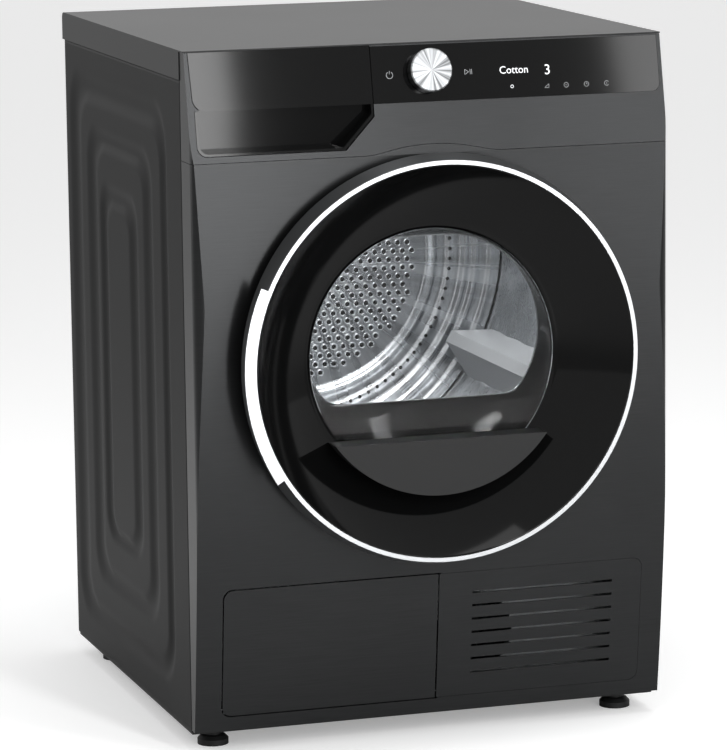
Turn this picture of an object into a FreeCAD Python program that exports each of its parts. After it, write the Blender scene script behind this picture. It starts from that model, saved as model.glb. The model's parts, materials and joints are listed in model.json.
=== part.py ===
"""Front-loading heat-pump clothes dryer, free-standing, full size.

Row frame: millimetres, +Z up, +X to the right seen from the front, the front faces -Y.
The origin is on the floor, under the middle of the overall box.
"""
import FreeCAD, Part
import Sketcher
import math
import os

doc = FreeCAD.newDocument("ClothesDryer")
sheet = doc.addObject("Spreadsheet::Sheet", "Sizes")
nodes = {}


# ---------------------------------------------------------------- sizes and expressions
class Size:
    """A number that also knows the spreadsheet expression it comes from."""

    def __init__(self, value, text):
        self.value = float(value)
        self.text = text

    def __add__(self, other):
        other = as_size(other)
        return Size(self.value + other.value, f"({self.text} + {other.text})")

    def __sub__(self, other):
        other = as_size(other)
        return Size(self.value - other.value, f"({self.text} - {other.text})")

    def __mul__(self, other):
        other = as_size(other)
        return Size(self.value * other.value, f"({self.text} * {other.text})")

    def __truediv__(self, other):
        other = as_size(other)
        return Size(self.value / other.value, f"({self.text} / {other.text})")

    def __radd__(self, other):
        return as_size(other) + self

    def __rsub__(self, other):
        return as_size(other) - self

    def __rmul__(self, other):
        return as_size(other) * self

    def __neg__(self):
        return Size(-self.value, f"(0 - {self.text})")


def as_size(number):
    if isinstance(number, Size):
        return number
    return Size(number, f"({number:.9g})")


def root(size):
    return Size(math.sqrt(size.value), f"sqrt({size.text})")


def cosine(degrees):
    return Size(math.cos(math.radians(degrees.value)), f"cos({degrees.text})")


def sine(degrees):
    return Size(math.sin(math.radians(degrees.value)), f"sin({degrees.text})")


def arctangent(ratio):
    """Angle in degrees as a plain number."""
    return Size(math.degrees(math.atan(ratio.value)), f"(atan({ratio.text}) / 1deg)")


def cell(name, value):
    """Write one driving dimension into the sheet and return it as a Size."""
    row = cell.row = getattr(cell, "row", 0) + 1
    sheet.set(f"A{row}", name)
    sheet.set(f"B{row}", f"{value:.9g}")
    sheet.setAlias(f"B{row}", name)
    return Size(value, f"Sizes.{name}")


# Overall box and outer sheets
width = cell("overall_width", 600)
depth = cell("overall_depth", 660)
height = cell("overall_height", 850)
sheet_wall = cell("sheet_wall", 1.2)
skin_wall = cell("front_skin_wall", 2)
cover_height = cell("cover_height", 35)
cover_wall = cell("cover_wall", 4)
cover_overhang = cell("cover_rear_overhang", 8)
side_inset = cell("side_inset", 1)
groove_depth = cell("groove_depth", 3)
base_bottom = cell("base_bottom", 22)
base_floor = cell("base_floor", 3)
base_rim = cell("base_rim_height", 38)

# Front skin: bowed panel, leaning fascia
panel_bulge_height = cell("panel_bulge_height", 548)
panel_stand_off = cell("door_stand_off", 42)
bow_radius = cell("bow_radius", 3791)
seam_setback = cell("side_seam_setback", 48)
front_corner = cell("front_corner_radius", 12)
panel_bottom = cell("panel_bottom", 28)
fascia_height = cell("fascia_height", 130.5)
fascia_lean = cell("fascia_lean", 27)
seam_gap = cell("seam_gap", 0.6)
fascia_wall = cell("fascia_wall", 4)
bump_blend = cell("bump_blend_radius", 100)
bump_margin = cell("bump_margin", 7.7)

# Door
door_height = cell("door_height", 474)
ring_radius = cell("door_ring_radius", 248.6)
ring_front = cell("door_ring_front_radius", 242)
dish_radius = cell("door_dish_radius", 237)
ring_depth = cell("door_ring_depth", 25)
lip_radius = cell("door_lip_radius", 251.2)
frame_radius = cell("door_rear_radius", 224)
frame_depth = cell("door_rear_depth", 13)
window_radius = cell("door_window_radius", 160)
dish_depth = cell("door_dish_depth", 58)
bowl_radius = cell("door_bowl_radius", 166)
door_bowl_setback = cell("door_bowl_setback", 60)
bowl_wall = cell("door_bowl_wall", 4)
seal_radius = cell("door_seal_radius", 217)
hook_x = cell("door_hook_x", -208)
opening_radius = cell("door_opening_radius", 196)
dish_curve = cell("dish_curve_radius", 300)
lip_start = cell("lip_start_angle", 148)
lip_span = cell("lip_span_angle", 56)
hinge_x = cell("door_hinge_x", 232)
door_hinge_setback = cell("door_hinge_setback", 18)
pin_radius = cell("door_pin_radius", 3)
running_gap = cell("running_gap", 0.05)
seat_gap = cell("seat_gap", 0.3)

# Drum
drum_height = cell("drum_height", 520)
drum_radius = cell("drum_radius", 284)
drum_wall = cell("drum_wall", 1.2)
drum_front_setback = cell("drum_front_setback", 88)
drum_rear_setback = cell("drum_rear_setback", 50)
drum_mouth = cell("drum_mouth_radius", 246)
shaft_radius = cell("drum_shaft_radius", 12)
roller_radius = cell("roller_radius", 18)
roller_angle = cell("roller_angle", 30)
lifter_height = cell("lifter_height", 52)
hole_radius = cell("drum_hole_radius", 3.5)

# Drawer, window and dial
drawer_inset = cell("drawer_inset", 8)
drawer_right = cell("drawer_right", -71)
drawer_drop = cell("drawer_drop", 70)
grip_drop = cell("grip_drop", 122)
glass_top_drop = cell("glass_top_drop", 3.5)
glass_inset = cell("glass_inset", 6)
glass_drop = cell("glass_drop", 70)
glass_wall = cell("glass_wall", 2)
dial_drop = cell("dial_drop", 35)
dial_radius = cell("dial_radius", 26)
dial_depth = cell("dial_depth", 17)
board_gap = cell("board_gap", 8)
case_left = cell("board_case_left", 150)
dial_shaft = cell("dial_shaft_radius", 4)
tank_travel = cell("tank_travel", 400)
tank_length = cell("tank_length", 430)
tank_wall = cell("tank_wall", 2)
tank_gap = cell("tank_gap", 1)
tank_skin = cell("tank_housing_wall", 1.5)
tank_inset = cell("tank_inset", 18)
tank_right = cell("tank_right", -86)
tank_drop = cell("tank_drop", 103)
tank_top_drop = cell("tank_top_drop", 14)
tank_front_setback = cell("tank_front_setback", 38)

# Lower front panels
flap_inset = cell("flap_inset", 35)
flap_right = cell("flap_right", 5)
flap_bottom = cell("flap_bottom", 46)
flap_top = cell("flap_top", 204)
flap_wall = cell("flap_wall", 3)
flap_gap = cell("flap_gap", 0.8)
grille_left = cell("grille_left", 7)
grille_inset = cell("grille_inset", 30)
panel_corner = cell("lower_corner_radius", 12)
slot_height = cell("slot_height", 3)
slot_pitch = cell("slot_pitch", 17)

# Service flap's pivot and inner cover
flap_pivot_setback = cell("flap_pivot_setback", 35.5)
flap_pivot_z = cell("flap_pivot_z", 54)
flap_pin = cell("flap_pin_radius", 1.6)

# Side grooves
groove_edge = cell("groove_edge", 34)
groove_step = cell("groove_step", 66)
groove_width = cell("groove_width", 30)
groove_front = cell("groove_front_margin", 12)
groove_corner = cell("groove_corner_radius", 62)

# Rear fittings
duct_cover_radius = cell("duct_cover_radius", 245)
inlet_x = cell("inlet_x", 240)
inlet_z = cell("inlet_z", 120)
inlet_radius = cell("inlet_radius", 10)
lead_radius = cell("lead_radius", 4.5)
spigot_x = cell("spigot_x", -240)
spigot_radius = cell("spigot_radius", 6)
spigot_flange = cell("spigot_flange_radius", 12)
vent_left = cell("vent_left", 60)
vent_pitch = cell("vent_pitch", 14)
vent_bottom = cell("vent_bottom", 120)
vent_length = cell("vent_length", 90)
bracket_hole = cell("bracket_hole_radius", 2.1)
bracket_inner = cell("bracket_hole_inner_x", 252)
bracket_outer = cell("bracket_hole_outer_x", 276)
bracket_hole_drop = cell("bracket_hole_drop", 55)

# Machinery
motor_x = cell("motor_x", 205)
motor_setback = cell("motor_setback", 122)
motor_length = cell("motor_length", 112)
motor_shaft = cell("motor_shaft_radius", 6)
motor_height = cell("motor_height", 130)
motor_radius = cell("motor_radius", 46)
pulley_radius = cell("pulley_radius", 14)
belt_wall = cell("belt_wall", 2)
belt_setback = cell("belt_setback", 15)
belt_width = cell("belt_width", 10)
wheel_radius = cell("blower_radius", 72)
blower_depth = cell("blower_depth", 64)
blower_setback = cell("blower_setback", 86)
duct_inset = cell("duct_inset", 30)
duct_right = cell("duct_right", -4)
duct_bottom = cell("duct_bottom", 48)
duct_top = cell("duct_top", 198)
duct_front_setback = cell("duct_front_setback", 56)
duct_branch_depth = cell("duct_branch_depth", 52)
duct_wall = cell("duct_wall", 3)
fan_x = cell("fan_x", 70)
fan_height = cell("fan_height", 115)
fan_radius = cell("fan_radius", 46)
compressor_radius = cell("compressor_radius", 62)
compressor_x = cell("compressor_x", 208)
compressor_setback = cell("compressor_setback", 150)
compressor_top = cell("compressor_top", 190)
pipe_radius = cell("pipe_radius", 4)
pump_height = cell("pump_height", 80)
hose_inset = cell("hose_inset", 24)
hose_setback = cell("hose_setback", 19)
hose_radius = cell("hose_radius", 5)
idler_radius = cell("idler_radius", 10)
idler_pivot_x = cell("idler_pivot_x", 150)
idler_pivot_z = cell("idler_pivot_z", 88)
idler_wheel_x = cell("idler_wheel_x", 114)
idler_wheel_z = cell("idler_wheel_z", 141)
idler_pin = cell("idler_pin_radius", 3)
pipe_low = cell("pipe_low", 150)

# Bulkheads that carry the drum
bulkhead_wall = cell("bulkhead_wall", 4)
bulkhead_gap = cell("bulkhead_gap", 10)
bulkhead_drop = cell("bulkhead_drop", 38)
throat_radius = cell("throat_radius", 200)
bearing_radius = cell("bearing_radius", 20)
port_radius = cell("air_port_radius", 52)
port_circle = cell("air_port_circle", 140)
drum_spider = cell("drum_spider_radius", 60)
hole_first = cell("drum_hole_first", 40)
hole_step = cell("drum_hole_step", 28)
roller_pin = cell("roller_pin_radius", 5)

# Feet
foot_inset = cell("foot_inset", 38)
foot_front_setback = cell("foot_front_setback", 40)
foot_rear_setback = cell("foot_rear_setback", 60)
foot_radius = cell("foot_radius", 19)
stud_radius = cell("stud_radius", 5)
stud_length = cell("stud_length", 16)

# Places worked out from the sizes above
half_width = width / 2
front_edge = -depth / 2
rear_edge = depth / 2
panel_front = front_edge + panel_stand_off
side_seam = panel_front + seam_setback
rear_face = rear_edge - cover_overhang
cover_bottom = height - cover_height
side_outer = half_width - side_inset
side_inner = side_outer - sheet_wall
rear_inner = rear_face - sheet_wall
fascia_bottom = height - fascia_height
fascia_top = height - 2
bow_centre = panel_front + bow_radius
fascia_foot = bow_centre - root(bow_radius * bow_radius
                                - (fascia_bottom - panel_bulge_height)
                                * (fascia_bottom - panel_bulge_height))
fascia_head = fascia_foot + fascia_lean
lean_angle = arctangent(fascia_lean / (fascia_top - fascia_bottom))
cover_front = fascia_head + seam_gap
hinge_y = front_edge + door_hinge_setback
bowl_end = panel_front + door_bowl_setback
drum_front = panel_front + drum_front_setback
drum_rear = rear_face - drum_rear_setback
tank_front_y = panel_front + tank_front_setback
tank_rear = tank_front_y + tank_length
flap_pivot_y = panel_front + flap_pivot_setback
duct_front = panel_front + duct_front_setback
foot_front = side_seam + foot_front_setback
foot_rear = rear_face - foot_rear_setback
foot_x = half_width - foot_inset
duct_left = duct_inset - half_width
hose_x = hose_inset - half_width
hose_y = rear_face - hose_setback
drawer_left = drawer_inset - half_width
glass_right = half_width - glass_inset
tank_left = tank_inset - half_width
flap_left = flap_inset - half_width
grille_right = half_width - grille_inset
dial_height = height - dial_drop
drawer_bottom = height - drawer_drop
grip_bottom = height - grip_drop
glass_top = height - glass_top_drop
glass_bottom = height - glass_drop
tank_bottom = height - tank_drop
tank_top = height - tank_top_drop
bulkhead_top = height - bulkhead_drop
bracket_z = height - bracket_hole_drop
blower_rear = drum_rear + bulkhead_gap - blower_setback
blower_front = blower_rear - blower_depth
duct_branch = blower_front - duct_branch_depth
motor_front = duct_branch - motor_setback
belt_y = motor_front - belt_setback
compressor_y = panel_front + compressor_setback
bulkhead_rear = drum_front - bulkhead_gap
bulkhead_front = bulkhead_rear - bulkhead_wall
rear_wall_front = drum_rear + bulkhead_gap
rear_wall_rear = rear_wall_front + bulkhead_wall
frame_side = side_inner - groove_depth
base_top = base_bottom + base_rim
boss_height = duct_bottom - base_bottom


# ---------------------------------------------------------------- document helpers
def bind(obj, prop, size):
    obj.setExpression(prop, as_size(size).text)


def place(obj, x, y, z, axis=None, degrees=0):
    """Bind an object's place; axis and degrees give its rotation."""
    if axis is not None:
        turn = FreeCAD.Rotation(FreeCAD.Vector(*axis), as_size(degrees).value)
        obj.Placement = FreeCAD.Placement(FreeCAD.Vector(), turn)
        if isinstance(degrees, Size):
            bind(obj, "Placement.Rotation.Angle", degrees * sign_of_axis(obj, axis))
    for letter, size in zip("xyz", (x, y, z)):
        bind(obj, f"Placement.Base.{letter}", size)


def sign_of_axis(obj, axis):
    """FreeCAD may store a turn about the reversed axis; this is +1 or -1 for that."""
    stored = obj.Placement.Rotation.Axis
    return 1 if stored.dot(FreeCAD.Vector(*axis)) > 0 else -1


def block(name, x, y, z):
    """A Part::Box between pairs (low, high) of sizes on each axis."""
    obj = doc.addObject("Part::Box", name)
    for prop, (low, high) in zip(("Length", "Width", "Height"), (x, y, z)):
        bind(obj, prop, as_size(high) - low)
    place(obj, x[0], y[0], z[0])
    return obj


TURNS = {"X": ((0, 1, 0), 90), "Y": ((1, 0, 0), -90), "Z": (None, 0)}


def rod(name, along, x, y, z, radius, length):
    """A Part::Cylinder that starts at (x, y, z) and runs towards + along."""
    obj = doc.addObject("Part::Cylinder", name)
    bind(obj, "Radius", radius)
    bind(obj, "Height", length)
    axis, degrees = TURNS[along]
    place(obj, x, y, z, axis, degrees)
    return obj


def join(name, pieces):
    obj = doc.addObject("Part::MultiFuse", name)
    obj.Shapes = pieces
    return obj


def cut(name, base, tools):
    """base less every tool."""
    obj = doc.addObject("Part::Cut", name)
    obj.Base = base
    obj.Tool = tools[0] if len(tools) == 1 else join(name + "Tools", tools)
    return obj


def common(name, first, second):
    obj = doc.addObject("Part::MultiCommon", name)
    obj.Shapes = [first, second]
    return obj


def node(name, obj):
    """Name the object that becomes parts/NAME.step."""
    obj.Label = name
    nodes[name] = obj
    return obj


def tube(name, along, x, y, z, outer, inner, length):
    """A ring or pipe: a cylinder with a concentric bore."""
    solid = rod(name + "Outer", along, x, y, z, outer, length)
    bore = rod(name + "Bore", along, x, y, z, inner, length)
    return cut(name, solid, [bore])


def new_sketch(body, plane):
    sketch = body.newObject("Sketcher::SketchObject", body.Name + "Sketch")
    origin = [item for item in body.Origin.OriginFeatures if item.Role == plane]
    sketch.AttachmentSupport = [(origin[0], "")]
    sketch.MapMode = "FlatFace"
    return sketch


def arc_between(start, end, radius):
    """Arc from start to end; a positive radius turns left, a negative one turns right."""
    chord = end - start
    middle = (start + end) / 2
    rise = math.sqrt(max(radius * radius - chord.Length ** 2 / 4, 0))
    left = FreeCAD.Vector(-chord.y, chord.x, 0).normalize()
    centre = middle + left * (rise if radius > 0 else -rise)
    first = math.atan2(start.y - centre.y, start.x - centre.x)
    last = math.atan2(end.y - centre.y, end.x - centre.x)
    circle = Part.Circle(centre, FreeCAD.Vector(0, 0, 1), abs(radius))
    if radius > 0:
        return Part.ArcOfCircle(circle, first, last), (1, 2)
    return Part.ArcOfCircle(circle, last, first), (2, 1)


def draw(sketch, outline):
    """Draw one closed outline of (x, y) or (x, y, radius of the arc to the next corner)."""
    flat = [FreeCAD.Vector(as_size(c[0]).value, as_size(c[1]).value, 0) for c in outline]
    count = len(outline)
    ends = []
    for index, corner in enumerate(outline):
        start = flat[index]
        end = flat[(index + 1) % count]
        if len(corner) == 3:
            curve, order = arc_between(start, end, as_size(corner[2]).value)
        else:
            curve, order = Part.LineSegment(start, end), (1, 2)
        geometry = sketch.addGeometry(curve, False)
        ends.append((geometry, order))
    for index, corner in enumerate(outline):
        geometry, order = ends[index]
        previous, before = ends[index - 1]
        sketch.addConstraint(Sketcher.Constraint("Coincident", previous, before[1], geometry, order[0]))
        for kind, size in zip(("DistanceX", "DistanceY"), corner[:2]):
            size = as_size(size)
            number = sketch.addConstraint(
                Sketcher.Constraint(kind, -1, 1, geometry, order[0], size.value))
            sketch.setExpression(f"Constraints[{number}]", size.text)
        if len(corner) == 3:
            radius = as_size(corner[2])
            radius = radius if radius.value > 0 else -radius
            number = sketch.addConstraint(Sketcher.Constraint("Radius", geometry, radius.value))
            sketch.setExpression(f"Constraints[{number}]", radius.text)


def draw_circle(sketch, x, y, radius):
    x, y, radius = as_size(x), as_size(y), as_size(radius)
    circle = Part.Circle(FreeCAD.Vector(x.value, y.value, 0), FreeCAD.Vector(0, 0, 1), radius.value)
    geometry = sketch.addGeometry(circle, False)
    for kind, size in (("DistanceX", x), ("DistanceY", y)):
        number = sketch.addConstraint(Sketcher.Constraint(kind, -1, 1, geometry, 3, size.value))
        sketch.setExpression(f"Constraints[{number}]", size.text)
    number = sketch.addConstraint(Sketcher.Constraint("Radius", geometry, radius.value))
    sketch.setExpression(f"Constraints[{number}]", radius.text)


def rounded(x, y, radius):
    """Outline of a rectangle with rounded corners."""
    (left, right), (low, high) = x, y
    return [(left + radius, low), (right - radius, low, radius), (right, low + radius),
            (right, high - radius, radius), (right - radius, high), (left + radius, high, radius),
            (left, high - radius), (left, low + radius, radius)]


def pad(name, plane, outlines, length, at=(0, 0, 0), reverse=False):
    """A body with one sketch, padded along the plane's normal (XY: +Z, XZ: -Y, YZ: +X)."""
    body = doc.addObject("PartDesign::Body", name)
    sketch = new_sketch(body, plane)
    for outline in outlines:
        draw(sketch, outline)
    feature = body.newObject("PartDesign::Pad", name + "Pad")
    feature.Profile = sketch
    feature.Reversed = reverse
    bind(feature, "Length", length)
    place(body, *at)
    return body


def revolve(name, plane, outlines, at=(0, 0, 0), angle=360):
    """A body turned about its plane's vertical axis (XY: the Y axis, XZ: the Z axis)."""
    body = doc.addObject("PartDesign::Body", name)
    sketch = new_sketch(body, plane)
    for outline in outlines:
        draw(sketch, outline)
    feature = body.newObject("PartDesign::Revolution", name + "Turn")
    feature.Profile = sketch
    feature.ReferenceAxis = (sketch, ["V_Axis"])
    bind(feature, "Angle", angle)
    place(body, *at)
    return body


# ---------------------------------------------------------------- outer casing
def front_block(name, inset):
    """Solid behind the front skin's outer face, moved inwards by inset."""
    centre = bow_centre
    radius = bow_radius - inset
    shift = inset / cosine(lean_angle)
    low = panel_bottom
    seam = fascia_bottom
    top = fascia_top

    def bow(z):
        return centre - root(radius * radius - (z - panel_bulge_height) * (z - panel_bulge_height))

    side = pad(name + "Section", "YZ_Plane",
               [[(bow(low), low), (side_seam, low), (side_seam, top), (fascia_head + shift, top),
                 (bow(seam), seam, radius)]],
               width, at=(-half_width, 0, 0))
    flank = side_outer - inset
    bend = panel_front + front_corner
    plan = pad(name + "Plan", "XY_Plane",
               [[(-flank, side_seam), (-flank, bend, front_corner),
                 (front_corner - flank, panel_front), (flank - front_corner, panel_front, front_corner),
                 (flank, bend), (flank, side_seam)]],
               height)
    return common(name, side, plan)


def seam_region(name, gap):
    """Everything above the seam line between lower panel and fascia, raised by gap."""
    line = fascia_bottom + gap
    radius = ring_radius + bump_margin + gap
    centre = door_height
    rise = line + bump_blend - centre
    reach = radius + bump_blend
    side = root(reach * reach - rise * rise)
    touch_x = side * radius / reach
    touch_z = centre + rise * radius / reach
    wide = width
    return pad(name, "XZ_Plane",
               [[(-wide, line), (-side, line, bump_blend), (-touch_x, touch_z, -radius),
                 (touch_x, touch_z, bump_blend), (side, line), (wide, line),
                 (wide, height * 1.2), (-wide, height * 1.2)]],
               depth, at=(0, 0, 0))
def front_prism(name, outline):
    """A prism through the whole front skin: an outline in (x, z) padded from y = 0 to the front."""
    return pad(name, "XZ_Plane", [outline], depth)


def drawer_outline(grow):
    """The water drawer's glossy front, seen from the front."""
    left = drawer_left - grow
    right = drawer_right + grow
    low = drawer_bottom - grow
    curve = as_size(16)
    return [(left + curve, low), (right, low), (right, fascia_top + 1), (left - 2, fascia_top + 1),
            (left, low + curve, curve)]


def grip_outline(grow, rise):
    """The finger recess under the drawer front, with its slanted right end."""
    left = drawer_left - grow + 2
    right = drawer_right + grow
    low = grip_bottom - grow
    slant = as_size(38)
    curve = as_size(12)
    top = drawer_bottom + rise
    return [(left + curve, low), (right - slant, low), (right, low + slant), (right, top), (left, top),
            (left, low + curve, curve)]


def glass_outline(grow):
    """The black control window right of the drawer."""
    left = drawer_right + 1 - grow
    right = glass_right + grow
    low = glass_bottom - grow
    top = glass_top + grow
    curve = as_size(10)
    return [(left, low), (right - curve, low, curve), (right, low + curve), (right, top), (left, top)]


def lower_outline(left, right, round_left, gap):
    """A lower front panel: large corners on its outer side, square ones at the middle."""
    low = flap_bottom - gap
    high = flap_top + gap
    left = left - gap
    right = right + gap
    curve = panel_corner
    if round_left:
        return [(left + curve, low), (right, low), (right, high), (left + curve, high, curve),
                (left, high - curve), (left, low + curve, curve)]
    return [(left, low), (right - curve, low, curve), (right, low + curve),
            (right, high - curve, curve), (right - curve, high), (left, high)]


def make_front_panel(outer):
    inner = front_block("PanelInner", skin_wall)
    seam = seam_region("PanelSeam", as_size(0))
    opening = rod("PanelOpening", "Y", 0, front_edge, door_height, opening_radius, depth)
    flap = front_prism("FlapOpening", lower_outline(flap_left, grille_left, True, flap_gap * 2))
    grille = front_prism("GrilleOpening", lower_outline(grille_left, grille_right, False, seat_gap))
    skin = cut("PanelSkin", outer, [inner, seam, opening, flap, grille])
    collar = tube("PanelCollar", "Y", 0, panel_front + 4, door_height,
                  opening_radius + skin_wall, opening_radius, bulkhead_front - panel_front - 4)
    landing = tube("PanelLanding", "Y", 0, panel_front, door_height, frame_radius, opening_radius, 6)
    slot = block("PanelCatchSlot", (hook_x - 8, hook_x + 8), (panel_front - 1, panel_front + 8),
                 (door_height - 14, door_height + 14))
    bracket, pin_hole = flap_bracket("FlapBracketLeft", flap_left, -1)
    whole = join("PanelPieces", [skin, collar, landing, bracket])
    return node("front_panel", cut("FrontPanel", whole, [slot, pin_hole]))


def make_fascia(outer):
    inner = front_block("FasciaInner", fascia_wall)
    seam = seam_region("FasciaSeam", seam_gap)
    drawer = front_prism("FasciaDrawer", drawer_outline(flap_gap))
    grip = front_prism("FasciaGrip", grip_outline(flap_gap, flap_gap))
    recess = common("FasciaRecess", cut("WindowShell", outer, [front_block("WindowInner", glass_wall)]),
                    front_prism("FasciaGlass", glass_outline(seat_gap)))
    shaft = dial_rod("FasciaShaft", dial_shaft + 1, -40, 80)
    shell = cut("FasciaShell", outer, [inner])
    above = common("FasciaAbove", shell, seam)
    return node("control_fascia", cut("Fascia", above, [drawer, grip, recess, shaft]))


def dial_rod(name, radius, start, length):
    """A cylinder on the dial's axis; start is measured outwards from the fascia's face."""
    obj = doc.addObject("Part::Cylinder", name)
    bind(obj, "Radius", radius)
    bind(obj, "Height", length)
    place_on_dial(obj, start)
    return obj


def place_on_dial(obj, start, x=0, up=0):
    """Point an object's +Z out of the leaning fascia: start out from it, up along its slope."""
    face_y = fascia_foot + fascia_lean * (dial_height - fascia_bottom) / (fascia_top - fascia_bottom)
    y = face_y - cosine(lean_angle) * start + sine(lean_angle) * up
    z = dial_height + sine(lean_angle) * start + cosine(lean_angle) * up
    place(obj, x, y, z, (1, 0, 0), 90 - lean_angle)


def flap_bracket(name, edge, side):
    """Bracket behind the front panel that holds one of the flap's pins, and the hole for the pin."""
    near = edge + side * (flap_gap * 2 + seat_gap)
    far = near + side * 6
    low, high = (near, far) if side > 0 else (far, near)
    solid = block(name + "Block", (low, high), (flap_pivot_y - 2.2, flap_pivot_y + 6),
                  (flap_pivot_z - 5, flap_pivot_z + 7))
    hole = rod(name + "Hole", "X", low - 1, flap_pivot_y, flap_pivot_z, flap_pin + running_gap, 8)
    return solid, hole


def make_side_panel(name, side):
    """Pressed steel side with three nested rounded grooves."""
    low_y, high_y = side_seam, rear_face
    low_z, high_z = base_bottom + 4, cover_bottom
    flat = [(low_y, low_z), (high_y, low_z), (high_y, high_z), (low_y, high_z)]
    body = doc.addObject("PartDesign::Body", name)
    sheet_sketch = new_sketch(body, "YZ_Plane")
    draw(sheet_sketch, flat)
    plate = body.newObject("PartDesign::Pad", name + "Plate")
    plate.Profile = sheet_sketch
    plate.Reversed = side > 0
    bind(plate, "Length", sheet_wall)
    back = new_sketch(body, "YZ_Plane")
    front = new_sketch(body, "YZ_Plane")
    for step in range(3):
        edge = groove_edge + groove_step * step
        draw_groove(back, edge - sheet_wall, groove_width + sheet_wall * 2)
        draw_groove(front, edge, groove_width)
    press = body.newObject("PartDesign::Pad", name + "Press")
    press.Profile = back
    press.Reversed = side > 0
    bind(press, "Length", sheet_wall + groove_depth)
    doc.recompute()
    groove = body.newObject("PartDesign::Pocket", name + "Groove")
    groove.Profile = front
    groove.Reversed = side < 0
    bind(groove, "Length", groove_depth)
    place(body, side * side_outer, 0, 0)
    return node(name, body)


def draw_groove(sketch, edge, wide):
    """One ring-shaped groove, edge in from the panel's own edges and wide across."""
    for shift in (as_size(0), wide):
        inset = edge + shift
        radius = groove_corner - shift
        draw(sketch, rounded((side_seam + groove_front + inset, rear_face - inset - groove_front),
                             (panel_bottom + inset, cover_bottom - inset), radius))


def make_rear_panel():
    """Rear sheet with the duct opening, vent slots and the lead's entry."""
    low, high = -side_inner, side_inner
    plate = pad("RearPlate", "XZ_Plane",
                [[(low, base_bottom + 4), (high, base_bottom + 4), (high, cover_bottom), (low, cover_bottom)]],
                sheet_wall, at=(0, rear_face, 0))
    tools = [rod("RearDuctHole", "Y", 0, rear_inner - 5, drum_height, duct_cover_radius - 15, 20),
             rod("RearInletHole", "Y", inlet_x, rear_inner - 5, inlet_z, inlet_radius + seat_gap, 20),
             rod("RearSpigotHole", "Y", spigot_x, rear_inner - 5, inlet_z, spigot_flange, 20)]
    for column in range(8):
        x = vent_left + vent_pitch * column
        tools.append(block(f"RearVent{column}", (x, x + 6), (rear_inner - 5, rear_face + 5),
                           (vent_bottom, vent_bottom + vent_length)))
    for index, (x, z) in enumerate(bracket_holes()):
        tools.append(rod(f"RearScrew{index}", "Y", x, rear_inner - 5, z, bracket_hole, 20))
    return node("rear_panel", cut("RearPanel", plate, tools))


def bracket_holes():
    """The four spare screw holes for a stacking bracket, at the top of the rear."""
    return [(side * x, z) for side in (-1, 1) for x in (bracket_inner, bracket_outer)
            for z in (bracket_z,)]


def make_duct_cover():
    """Dished cover over the air channel behind the drum."""
    r = duct_cover_radius
    return node("rear_duct_cover", revolve("RearDuctCover", "XY_Plane", [[
        (0, rear_edge - 2), (r - 22, rear_edge - 2), (r - 16, rear_face), (r, rear_face),
        (r, rear_face + 1.5), (r - 14, rear_face + 1.5), (r - 20, rear_edge), (0, rear_edge)]],
        at=(0, 0, drum_height)))


def make_top_cover():
    """Worktop: a shallow upside-down tray with rounded upper edges."""
    curve = as_size(8)
    front = cover_front
    outer = pad("CoverOuter", "YZ_Plane",
                [[(front, cover_bottom), (rear_edge, cover_bottom), (rear_edge, height - curve, curve),
                  (rear_edge - curve, height), (front, height)]],
                width, at=(-half_width, 0, 0))
    inner = block("CoverInner", (cover_wall - half_width, half_width - cover_wall),
                  (front - 5, rear_edge - cover_wall), (cover_bottom - 1, height - cover_wall))
    behind = side_seam + seam_gap
    rim = block("CoverFrontRim", (cover_wall - half_width, half_width - cover_wall), (behind, behind + 2),
                (tank_top + 4, height - cover_wall))
    notch = block("CoverNotch", (-width, width), (front - 5, behind), (cover_bottom - 1, fascia_top + seat_gap))
    rear_lip = block("CoverRearLip", (-side_inner, side_inner), (rear_face - 10, rear_edge - cover_wall),
                     (cover_bottom, cover_bottom + 2))
    return node("top_cover", join("TopCover", [cut("CoverShell", outer, [inner, notch]), rim, rear_lip]))


def make_base():
    """Moulded floor tray with a rim, foot bosses and machine supports."""
    side = side_inner - seat_gap
    front = side_seam + 4
    rear = rear_inner - seat_gap
    outer = block("BaseOuter", (-side, side), (front, rear), (base_bottom, base_top))
    inner = block("BaseInner", (4 - side, side - 4), (front + 4, rear - 4), (base_bottom + base_floor, base_top + 1))
    tray = cut("BaseTray", outer, [inner])
    parts = [tray]
    for index, (x, y) in enumerate(foot_places()):
        parts.append(rod(f"BaseBoss{index}", "Z", x, y, base_bottom, foot_radius - 4, boss_height))
    parts.append(block("MotorPost", (motor_x - 20, motor_x + 20), (motor_front + 10, motor_front + 100),
                       (base_bottom, motor_height - motor_radius - 3)))
    parts.append(block("BlowerPost", (motor_x - 30, motor_x + 30), (blower_front + 10, blower_rear - 10),
                       (base_bottom, duct_bottom + 2)))
    parts.append(block("DuctRest", (duct_left + 20, duct_right - 20), (duct_front + 20, duct_front + 200),
                       (base_bottom, duct_bottom)))
    solid = join("BaseSolid", parts)
    holes = [rod(f"BaseStud{index}", "Z", x, y, base_bottom - 1, stud_radius + running_gap, boss_height - 4)
             for index, (x, y) in enumerate(foot_places())]
    return node("base_tray", cut("BaseWithHoles", solid, holes))


def foot_places():
    return [(side * foot_x, y) for y in (foot_front, foot_rear) for side in (-1, 1)]


def make_feet():
    """Four screw feet: a wide pad, a hexagon-like collar and a stud in the base."""
    names = ("front_left_foot", "front_right_foot", "rear_left_foot", "rear_right_foot")
    for name, (x, y) in zip(names, foot_places()):
        r = foot_radius
        foot = revolve(name, "XZ_Plane", [[
            (0, 0), (r, 0), (r, 7), (r - 4, 11), (r - 9, 12), (r - 9, base_bottom - 4), (r - 6, base_bottom - 4),
            (r - 6, base_bottom - seat_gap / 3), (stud_radius, base_bottom - seat_gap / 3),
            (stud_radius, base_bottom + stud_length), (0, base_bottom + stud_length)]],
            at=(x, y, 0))
        node(name, foot)


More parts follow.
